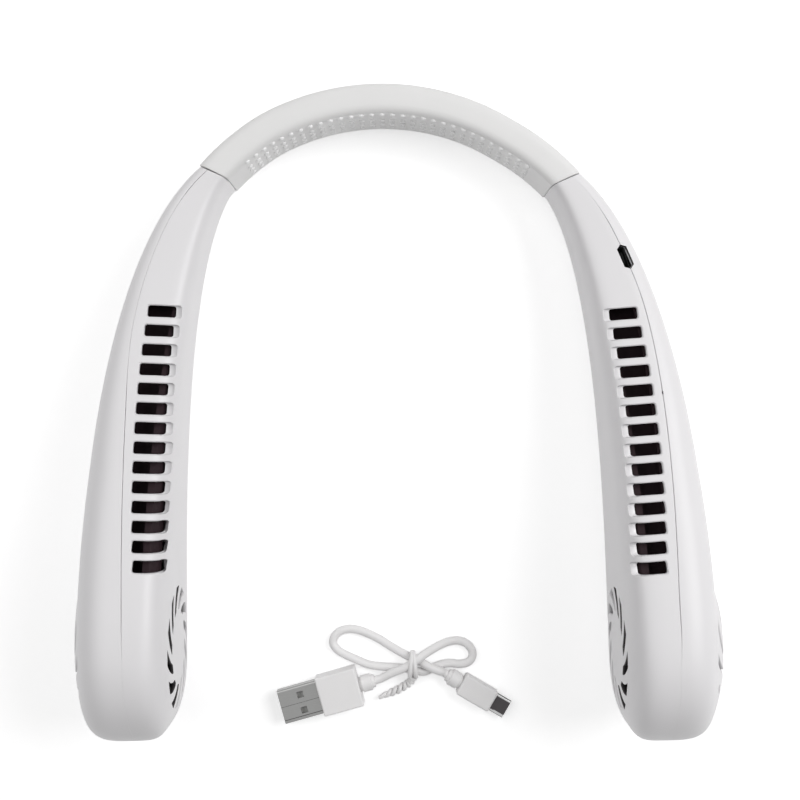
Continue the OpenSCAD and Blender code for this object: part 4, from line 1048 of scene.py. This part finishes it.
# Windows of the larger plug: place along and across, and half width; and its dark lines, from and to across:
# a line of painted shade along one long edge, and a joint in the middle
WINDOW_X, WINDOW_Y, WINDOW_HALF = -6.3, 2.76, 1.15
EDGE_SHADE_LINE, MIDDLE_LINE = (-4.85, -4.6), (-0.06, 0.06)
# Top of the smaller plug: its lines across, which bound the painted highlights and its painted dark top, and
# its catches along
CATCH_LINES, CATCH_ENDS = (-2.55, -2.3, 2.55), (14.6, 15.6)
# Twist tie: each wrap's place and lean, the wraps' middle, reach across and up and least height, and the tail
TIE_WRAPS, TIE_MIDDLE, TIE_REACH, TIE_FLOOR = ((4.3, 0.5), (5.8, -0.4)), (-89.5, 4.3), (4.35, 3.35), 0.35
TIE_TAIL = np.array([(5, -93.6, 4.2), (4.8, -94.8, 3.2), (4, -96.2, 2.0), (2.4, -97.4, 1.3),
                     (0.2, -98.7, 1.25), (-2.2, -99.7, 1.25), (-4.6, -100.6, 1.25), (-7.2, -101.4, 1.25)])
# Its steps, those of its shorter strand, each step's turn, the strands' distance and where they close up
TAIL_STEPS, SHORT_TAIL, TAIL_TWIST = 71, 64, 0.36
TAIL_SPREAD, TAIL_CLOSES = (0.85, 0.25), (44, 26)


def plug_point(plug, x, y=0.0, z=0.0):
    """Place of a point along, across and above the middle of a plug."""
    (px, py), turn, up = plug
    f = math.radians(turn)
    return Vector((px + x * math.cos(f) - y * math.sin(f), py + x * math.sin(f) + y * math.cos(f), up + z))


def route_points():
    return ([plug_point(LARGE_PLUG, x) for x in (20.3, 21.8)] + [Vector(p) for p in CORD_ROUTE]
            + [plug_point(SMALL_PLUG, x) for x in (-7.15, -5.65)])


def tube_curve(name, strands, radius):
    """A curve object of round strands, each through its own points in millimetres."""
    data = bpy.data.curves.new(name, "CURVE")
    data.dimensions = "3D"
    data.bevel_depth = radius * MM
    data.bevel_resolution = 5
    data.resolution_u = 6
    data.use_fill_caps = True
    for points in strands:
        spline = data.splines.new("BEZIER")
        spline.bezier_points.add(len(points) - 1)
        for b, p in zip(spline.bezier_points, points):
            b.co = Vector(p) * MM
            b.handle_left_type = b.handle_right_type = "AUTO"
    obj = bpy.data.objects.new(name, data)
    bpy.context.scene.collection.objects.link(obj)
    return obj


def rounded_bar(bm, start, length, w, h, edge, segments, along_only):
    """A block along a plug from start, with all its edges rounded or only those along it."""
    made = bmesh.ops.create_cube(bm, size=1)["verts"]
    bmesh.ops.scale(bm, vec=(length, w, h), verts=made)
    bmesh.ops.translate(bm, vec=(start + length / 2, 0, 0), verts=made)
    edges = [e for e in bm.edges if not along_only or abs(e.verts[0].co.x - e.verts[1].co.x) > 1]
    bmesh.ops.bevel(bm, geom=edges, offset=edge, offset_type="OFFSET", segments=segments, profile=0.5,
                    affect="EDGES", material=-1)


def cut_at(bm, places, way):
    """Cuts all faces across a direction at each of the places along it."""
    for place in places:
        bmesh.ops.bisect_plane(bm, geom=bm.verts[:] + bm.edges[:] + bm.faces[:], plane_co=Vector(way) * place,
                               plane_no=way)


def moulded_grip(name, plug, length, w, h, edge, root, reach):
    """Grip of a plug: a rounded block with a stepped, turned relief from its root to the cord."""
    bm = bmesh.new()
    rounded_bar(bm, 0, length, w, h, edge, 4, False)
    way = math.copysign(1, reach)
    ring = bmesh.ops.create_circle(bm, segments=28, radius=1)["verts"]
    unit = [v.co.copy() for v in ring]
    steps = (*RELIEF, (abs(reach), RELIEF_END_R))
    rings = [[(root + way * x, u.x * r, u.y * r) for u in unit] for x, r in steps]
    for v, p in zip(ring, rings[0]):
        v.co = p
    bmesh.ops.edgeloop_fill(bm, edges=loop_edges(ring))
    end = sink(bm, ring, rings[1:])
    bmesh.ops.edgeloop_fill(bm, edges=loop_edges(end))
    bmesh.ops.recalc_face_normals(bm, faces=bm.faces)
    for v in bm.verts:
        v.co = plug_point(plug, *v.co)
    obj = to_object(name, bm)
    obj.modifiers.new("edges", "WEIGHTED_NORMAL").keep_sharp = True
    return obj


def sheet_metal(name, bm, plug, thickness, look):
    """Gives the skin of a plug's metal its thickness and each face its look, and puts it in its place."""
    bmesh.ops.solidify(bm, geom=bm.faces[:], thickness=thickness)
    bmesh.ops.recalc_face_normals(bm, faces=bm.faces)
    bm.normal_update()
    for f in bm.faces:
        f.material_index = look(f.calc_center_median(), f.normal)
    for v in bm.verts:
        v.co = plug_point(plug, *v.co)
    return to_object(name, bm, smooth_faces=False)


def micro_metal():
    """Steel tube of the smaller plug with two small catches. Its polished top is painted dark as a painted
    reflection, with painted highlights at its folded edges and at one catch, and its inside is painted shade.
    """
    start, length, w, h, edge, thickness = 13, 5.6, 6.8, 1.85, 0.5, 0.25
    bm = bmesh.new()
    rounded_bar(bm, start, length, w, h, edge, 3, True)
    cut_at(bm, CATCH_LINES, (0, 1, 0))
    cut_at(bm, CATCH_ENDS, (1, 0, 0))
    mouth = [f for f in bm.faces if f.calc_center_median().x > start + length - 0.01]
    bmesh.ops.delete(bm, geom=mouth, context="FACES")

    def look(c, normal):
        left, near, right = CATCH_LINES
        # Inside of the tube: painted shade.
        if c.x < start + length - 0.8 and abs(c.y) < w / 2 - 0.1 and abs(c.z) < h / 2 - 0.1:
            return PAINTED_DARK_AND_JOINT
        # Top: painted dark reflection, with painted highlights at its edges and at one catch.
        if normal.z > 0.9:
            return PAINTED_DARK_AND_JOINT if near < c.y < right or left < c.y < near and c.x < 15 else PAINTED_HIGHLIGHT
        return SHEET

    return sheet_metal("micro_metal", bm, SMALL_PLUG, thickness, look)


def usb_metal():
    """Folded sheet of the larger plug, with its square windows, whose walls get a painted highlight, a dark
    line of painted shade along one long edge, and a dark joint.
    """
    length, w, h, edge, thickness = 14.0, 12.0, 4.5, 0.6, 0.35
    bm = bmesh.new()
    rounded_bar(bm, -length, length, w, h, edge, 3, True)
    cut_at(bm, (WINDOW_X - WINDOW_HALF, WINDOW_X + WINDOW_HALF, 0.5 - length), (1, 0, 0))
    cut_at(bm, (*EDGE_SHADE_LINE, -WINDOW_Y - WINDOW_HALF, -WINDOW_Y + WINDOW_HALF, *MIDDLE_LINE,
                WINDOW_Y - WINDOW_HALF, WINDOW_Y + WINDOW_HALF), (0, 1, 0))
    gone = []
    for f in bm.faces:
        c = f.calc_center_median()
        window = abs(f.normal.z) > 0.9 and abs(c.x - WINDOW_X) < 1 and abs(abs(c.y) - WINDOW_Y) < 1.05
        if window or c.x < -length + 0.01 and abs(f.normal.x) > 0.9:
            gone.append(f)
    bmesh.ops.delete(bm, geom=gone, context="FACES")
    bmesh.ops.recalc_face_normals(bm, faces=bm.faces)
    middle = Vector((-length / 2, 0, 0))
    if sum(f.normal.dot(f.calc_center_median() - middle) > 0 for f in bm.faces) < len(bm.faces) / 2:
        bmesh.ops.reverse_faces(bm, faces=bm.faces)

    def look(c, normal):
        # Walls of the windows: painted highlight.
        if abs(c.x - WINDOW_X) < 1.2 and abs(abs(c.y) - WINDOW_Y) < 1.2 and abs(normal.z) < 0.1:
            return PAINTED_HIGHLIGHT
        # Near-black line on the top: painted shade along one edge, and the dark joint in the middle.
        on_line = EDGE_SHADE_LINE[0] < c.y < EDGE_SHADE_LINE[1] or abs(c.y) < MIDDLE_LINE[1] and c.x < -1
        return PAINTED_DARK_AND_JOINT if normal.z > 0.9 and c.z > h / 2 - 0.01 and on_line else SHEET

    return sheet_metal("usb_a_metal", bm, LARGE_PLUG, thickness, look)


def twist_tie(sizes):
    """Two wraps round the crossing strands, and a tail of two strands twisted together."""
    r = sizes.tie_d / MM / 2
    turns = [2 * math.pi * k / 18 for k in range(18)]
    wraps = [[(x + lean * math.cos(f), TIE_MIDDLE[0] + TIE_REACH[0] * math.cos(f),
               max(TIE_MIDDLE[1] + TIE_REACH[1] * math.sin(f), r + TIE_FLOOR)) for f in turns]
             for x, lean in TIE_WRAPS]
    last = len(TIE_TAIL) - 1
    along = np.linspace(0, last, TAIL_STEPS)
    fine = np.stack([np.interp(along, np.arange(last + 1), TIE_TAIL[:, i]) for i in range(3)], 1)
    strands = []
    for phase, count in ((0, SHORT_TAIL), (math.pi, TAIL_STEPS)):
        points = []
        for k, p in enumerate(fine[:count]):
            a = fine[min(k + 1, TAIL_STEPS - 1)] - fine[max(k - 1, 0)]
            a /= np.linalg.norm(a)
            side = np.cross(a, (0, 0, 1))
            side /= np.linalg.norm(side)
            f = phase + k * TAIL_TWIST
            spread = mix(*TAIL_SPREAD, ramp(k, *TAIL_CLOSES))
            q = p + spread * (side * math.cos(f) + np.cross(side, a) * math.sin(f))
            points.append((q[0], q[1], max(q[2], r + 0.02)))
        strands.append(points)
    tie = tube_curve("twist_tie_wire", wraps + strands, r)
    for spline in tie.data.splines[:len(wraps)]:
        spline.use_cyclic_u = True
    return tie


class FAN_OT_cable(bpy.types.Operator):
    """Charging cord with its plugs, grips and twist tie"""
    bl_idname = "fan.cable"
    bl_label = "Charging cable"

    def execute(self, context):
        sizes = context.scene.fan_cable
        cord = tube_curve("cord", [route_points()], sizes.cord_d / MM / 2)
        usb = moulded_grip("usb_a_grip_moulded", *LARGE_GRIP)
        micro = moulded_grip("micro_grip_moulded", *SMALL_GRIP)
        metal, small, tie = usb_metal(), micro_metal(), twist_tie(sizes)
        for obj, looks, slot, node in ((usb, [cable_plastic()], "cable", "usb_a_grip"),
                                       (micro, [cable_plastic()], "cable", "micro_usb_grip"),
                                       (metal, plug_looks(), "plug_steel", "usb_a_shell"),
                                       (small, plug_looks(), "plug_steel", "micro_usb_shell"),
                                       (tie, [cable_plastic()], "tie", "twist_tie"),
                                       (cord, [cable_plastic()], "cable", "charging_cord")):
            dress(obj, looks, "neck_band", slot, node)
        context.evaluated_depsgraph_get().update()
        tuple(route_points()[0] * MM)
        return {"FINISHED"}


class FAN_OT_finishes(bpy.types.Operator):
    """Materials of the solid parts that stay in view"""
    bl_idname = "fan.finishes"
    bl_label = "Finishes of solid parts"

    def execute(self, context):
        c = context.scene.fan_colours
        dark, steel, copper, board, cell = (tuple(x) for x in (c.dark, c.steel, c.copper, c.board, c.cell))
        duct = finish_of("duct_plastic", dark, (0.034, 0.020, 0.024), rough=0.6, stretch=(5, 1, 1),
                         mottle=160, grain=2600, gloss=0.12)
        motor = finish_of("motor_plastic", (0.08, 0.08, 0.085), (0.06, 0.06, 0.062), rough=0.5, mottle=150)
        core = finish_of("core_rubber", (0.06, 0.06, 0.06), (0.09, 0.09, 0.09), rough=0.7, mottle=200)
        wire = finish_of("wire_jacket", (0.45, 0.03, 0.03), (0.38, 0.02, 0.02), rough=0.4, mottle=300)
        in_arm = {
            "air_duct": duct, "fan_scroll": duct, "motor_base": motor, "rotor_cup": bright_steel(),
            "motor_screws": bright_steel(),
            "battery": finish_of("cell_wrap", cell, rough=0.3, mottle=80, coat=0.3),
            "stator_core": finish_of("laminated_steel", steel, rough=0.45, metal=1.0, bump=0.3,
                                     bands=("X", 900, (0.35, 0.35, 0.36), (0.5, 0.5, 0.51))),
            "motor_coils": finish_of("copper_winding", copper, rough=0.35, metal=1.0, bump=0.5, depth=0.0001,
                                     bands=("X", 700, (0.7, 0.3, 0.13), (0.45, 0.17, 0.07))),
            "ring_magnet": finish_of("ferrite", (0.03, 0.03, 0.032), (0.05, 0.05, 0.05), rough=0.6,
                                     mottle=500),
            "blower_wheel": finish_of("wheel_plastic", (0.05, 0.05, 0.052), (0.035, 0.035, 0.036), rough=0.45,
                                      mottle=120)}
        looks = {f"{side}_{name}": look for side, _ in SIDES for name, look in in_arm.items()}
        for place in ("middle", "left", "right"):
            looks["flex_core_" + place] = core
            looks["band_wires_" + place] = wire
        looks.update({
            "tact_switch": motor,
            "circuit_board": finish_of("board_green", board, rough=0.35, coat=0.4,
                                       bands=("DIAGONAL", 260, board, (0.03, 0.18, 0.08))),
            # The socket is painted near-black as painted shade, so that the port reads as a dark hole.
            "micro_usb_socket": finish_of("socket_black", (0.006, 0.006, 0.006), (0.01, 0.01, 0.01),
                                          rough=0.7, mottle=300),
            "power_button": finish_of("button_plastic", (0.62, 0.62, 0.63), rough=0.35, mottle=120),
            "battery_lights": finish_of("lamp_lens", (0.78, 0.88, 0.92), (0.7, 0.8, 0.85), rough=0.15,
                                        mottle=200, coat=0.5),
            "usb_a_tongue": finish_of("tongue_plastic", (0.72, 0.72, 0.7), rough=0.4, mottle=200)})
        for name, look in looks.items():
            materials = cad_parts[name].data.materials
            materials.clear()
            materials.append(look)
        return {"FINISHED"}


# Lamps: name, place in metres, power and size. Each points at the middle of the frame.
LAMPS = (("key", (0.75, 0.25, 0.75), 6.9, 0.7), ("fill", (-0.5, 0.3, 0.9), 4.0, 0.9))
CAMERA_X, CAMERA_Y = 0.0025, 0.0037
FLOOR_HALF, FLOOR_Z, FLOOR_GLOW = 3, -0.0002, 0.5


def seen_straight(tree):
    """1 where the camera or a reflection looks, and 0 for light."""
    path = add_node(tree, "ShaderNodeLightPath")
    most = add_node(tree, "ShaderNodeMath", operation="MAXIMUM")
    link(tree, (path.outputs["Is Camera Ray"], most.inputs[0]),
         (path.outputs["Is Glossy Ray"], most.inputs[1]))
    return most.outputs[0]


class FAN_OT_stage(bpy.types.Operator):
    """Camera, pale floor and soft lamps"""
    bl_idname = "fan.stage"
    bl_label = "Studio"

    def execute(self, context):
        scene, stage = context.scene, context.scene.fan_stage
        scene.view_settings.view_transform = "Standard"
        camera = bpy.data.objects.new("camera", bpy.data.cameras.new("camera"))
        camera.data.lens = stage.lens
        camera.data.sensor_width = 36.0
        camera.location = (CAMERA_X, CAMERA_Y, stage.height)
        camera.rotation_euler = (0, 0, stage.turn)
        scene.collection.objects.link(camera)
        scene.camera = camera
        bm = bmesh.new()
        bmesh.ops.create_grid(bm, x_segments=4, y_segments=4, size=FLOOR_HALF)
        bmesh.ops.translate(bm, vec=(0, 0, FLOOR_Z), verts=bm.verts)
        mesh = bpy.data.meshes.new("floor")
        bm.to_mesh(mesh)
        bm.free()
        mesh.materials.append(self.floor_paint())
        floor = bpy.data.objects.new("floor", mesh)
        scene.collection.objects.link(floor)
        world = bpy.data.worlds.new("studio")
        scene.world = world
        world.use_nodes = True
        tree = world.node_tree
        tree.nodes.clear()
        out, pick = add_node(tree, "ShaderNodeOutputWorld"), add_node(tree, "ShaderNodeMixShader")
        light = add_node(tree, "ShaderNodeBackground", {"Strength": stage.sky})
        white = add_node(tree, "ShaderNodeBackground", {"Strength": 1.0})
        link(tree, (seen_straight(tree), pick.inputs[0]), (light.outputs[0], pick.inputs[1]),
             (white.outputs[0], pick.inputs[2]), (pick.outputs[0], out.inputs["Surface"]))
        for name, place, power, size in LAMPS:
            lamp = bpy.data.lights.new(name, "AREA")
            lamp.energy = power * stage.key
            lamp.size = size
            obj = bpy.data.objects.new(name, lamp)
            obj.location = place
            obj.rotation_euler = (-Vector(place)).to_track_quat("-Z", "Y").to_euler()
            scene.collection.objects.link(obj)
        return {"FINISHED"}

    def floor_paint(self):
        m = bpy.data.materials.new("floor_white")
        m.use_nodes = True
        tree = m.node_tree
        tree.nodes.clear()
        out, both = add_node(tree, "ShaderNodeOutputMaterial"), add_node(tree, "ShaderNodeAddShader")
        plain = add_node(tree, "ShaderNodeBsdfDiffuse", {"Color": (0.8, 0.8, 0.8, 1)})
        glow = add_node(tree, "ShaderNodeEmission")
        strength = add_node(tree, "ShaderNodeMath", {1: FLOOR_GLOW}, operation="MULTIPLY")
        link(tree, (seen_straight(tree), strength.inputs[0]), (strength.outputs[0], glow.inputs["Strength"]),
             (plain.outputs[0], both.inputs[0]), (glow.outputs[0], both.inputs[1]),
             (both.outputs[0], out.inputs["Surface"]))
        return m


OPERATORS = (FAN_OT_stage, FAN_OT_cable, FAN_OT_inner_shells, FAN_OT_outer_shells, FAN_OT_grilles,
             FAN_OT_sleeve, FAN_OT_finishes)
GROUPS = (("fan_shell", FanShellSizes), ("fan_sleeve", FanSleeveSizes), ("fan_cable", FanCableSizes),
          ("fan_colours", FanColours), ("fan_stage", FanStage))


class FAN_PT_panel(bpy.types.Panel):
    """Pieces of the neck fan and their sizes"""
    bl_label = "Neck fan"
    bl_idname = "FAN_PT_panel"
    bl_space_type = "VIEW_3D"
    bl_region_type = "UI"
    bl_category = "Neck fan"

    def draw(self, context):
        layout = self.layout
        for name, group in GROUPS:
            box = layout.box()
            for prop in group.__annotations__:
                box.prop(getattr(context.scene, name), prop)
        for operator in OPERATORS:
            layout.operator(operator.bl_idname)


def register():
    for name, group in GROUPS:
        bpy.utils.register_class(group)
        setattr(bpy.types.Scene, name, bpy.props.PointerProperty(type=group))
    for item in OPERATORS + (FAN_PT_panel,):
        bpy.utils.register_class(item)


def unregister():
    for item in reversed(OPERATORS + (FAN_PT_panel,)):
        bpy.utils.unregister_class(item)
    for name, group in reversed(GROUPS):
        delattr(bpy.types.Scene, name)
        bpy.utils.unregister_class(group)


def main():
    register()
    bpy.ops.fan.stage()
    bpy.ops.fan.cable()
    bpy.ops.fan.inner_shells()
    bpy.ops.fan.outer_shells()
    bpy.ops.fan.grilles()
    bpy.ops.fan.sleeve()
    bpy.ops.fan.finishes()


if __name__ == "__main__":
    main()
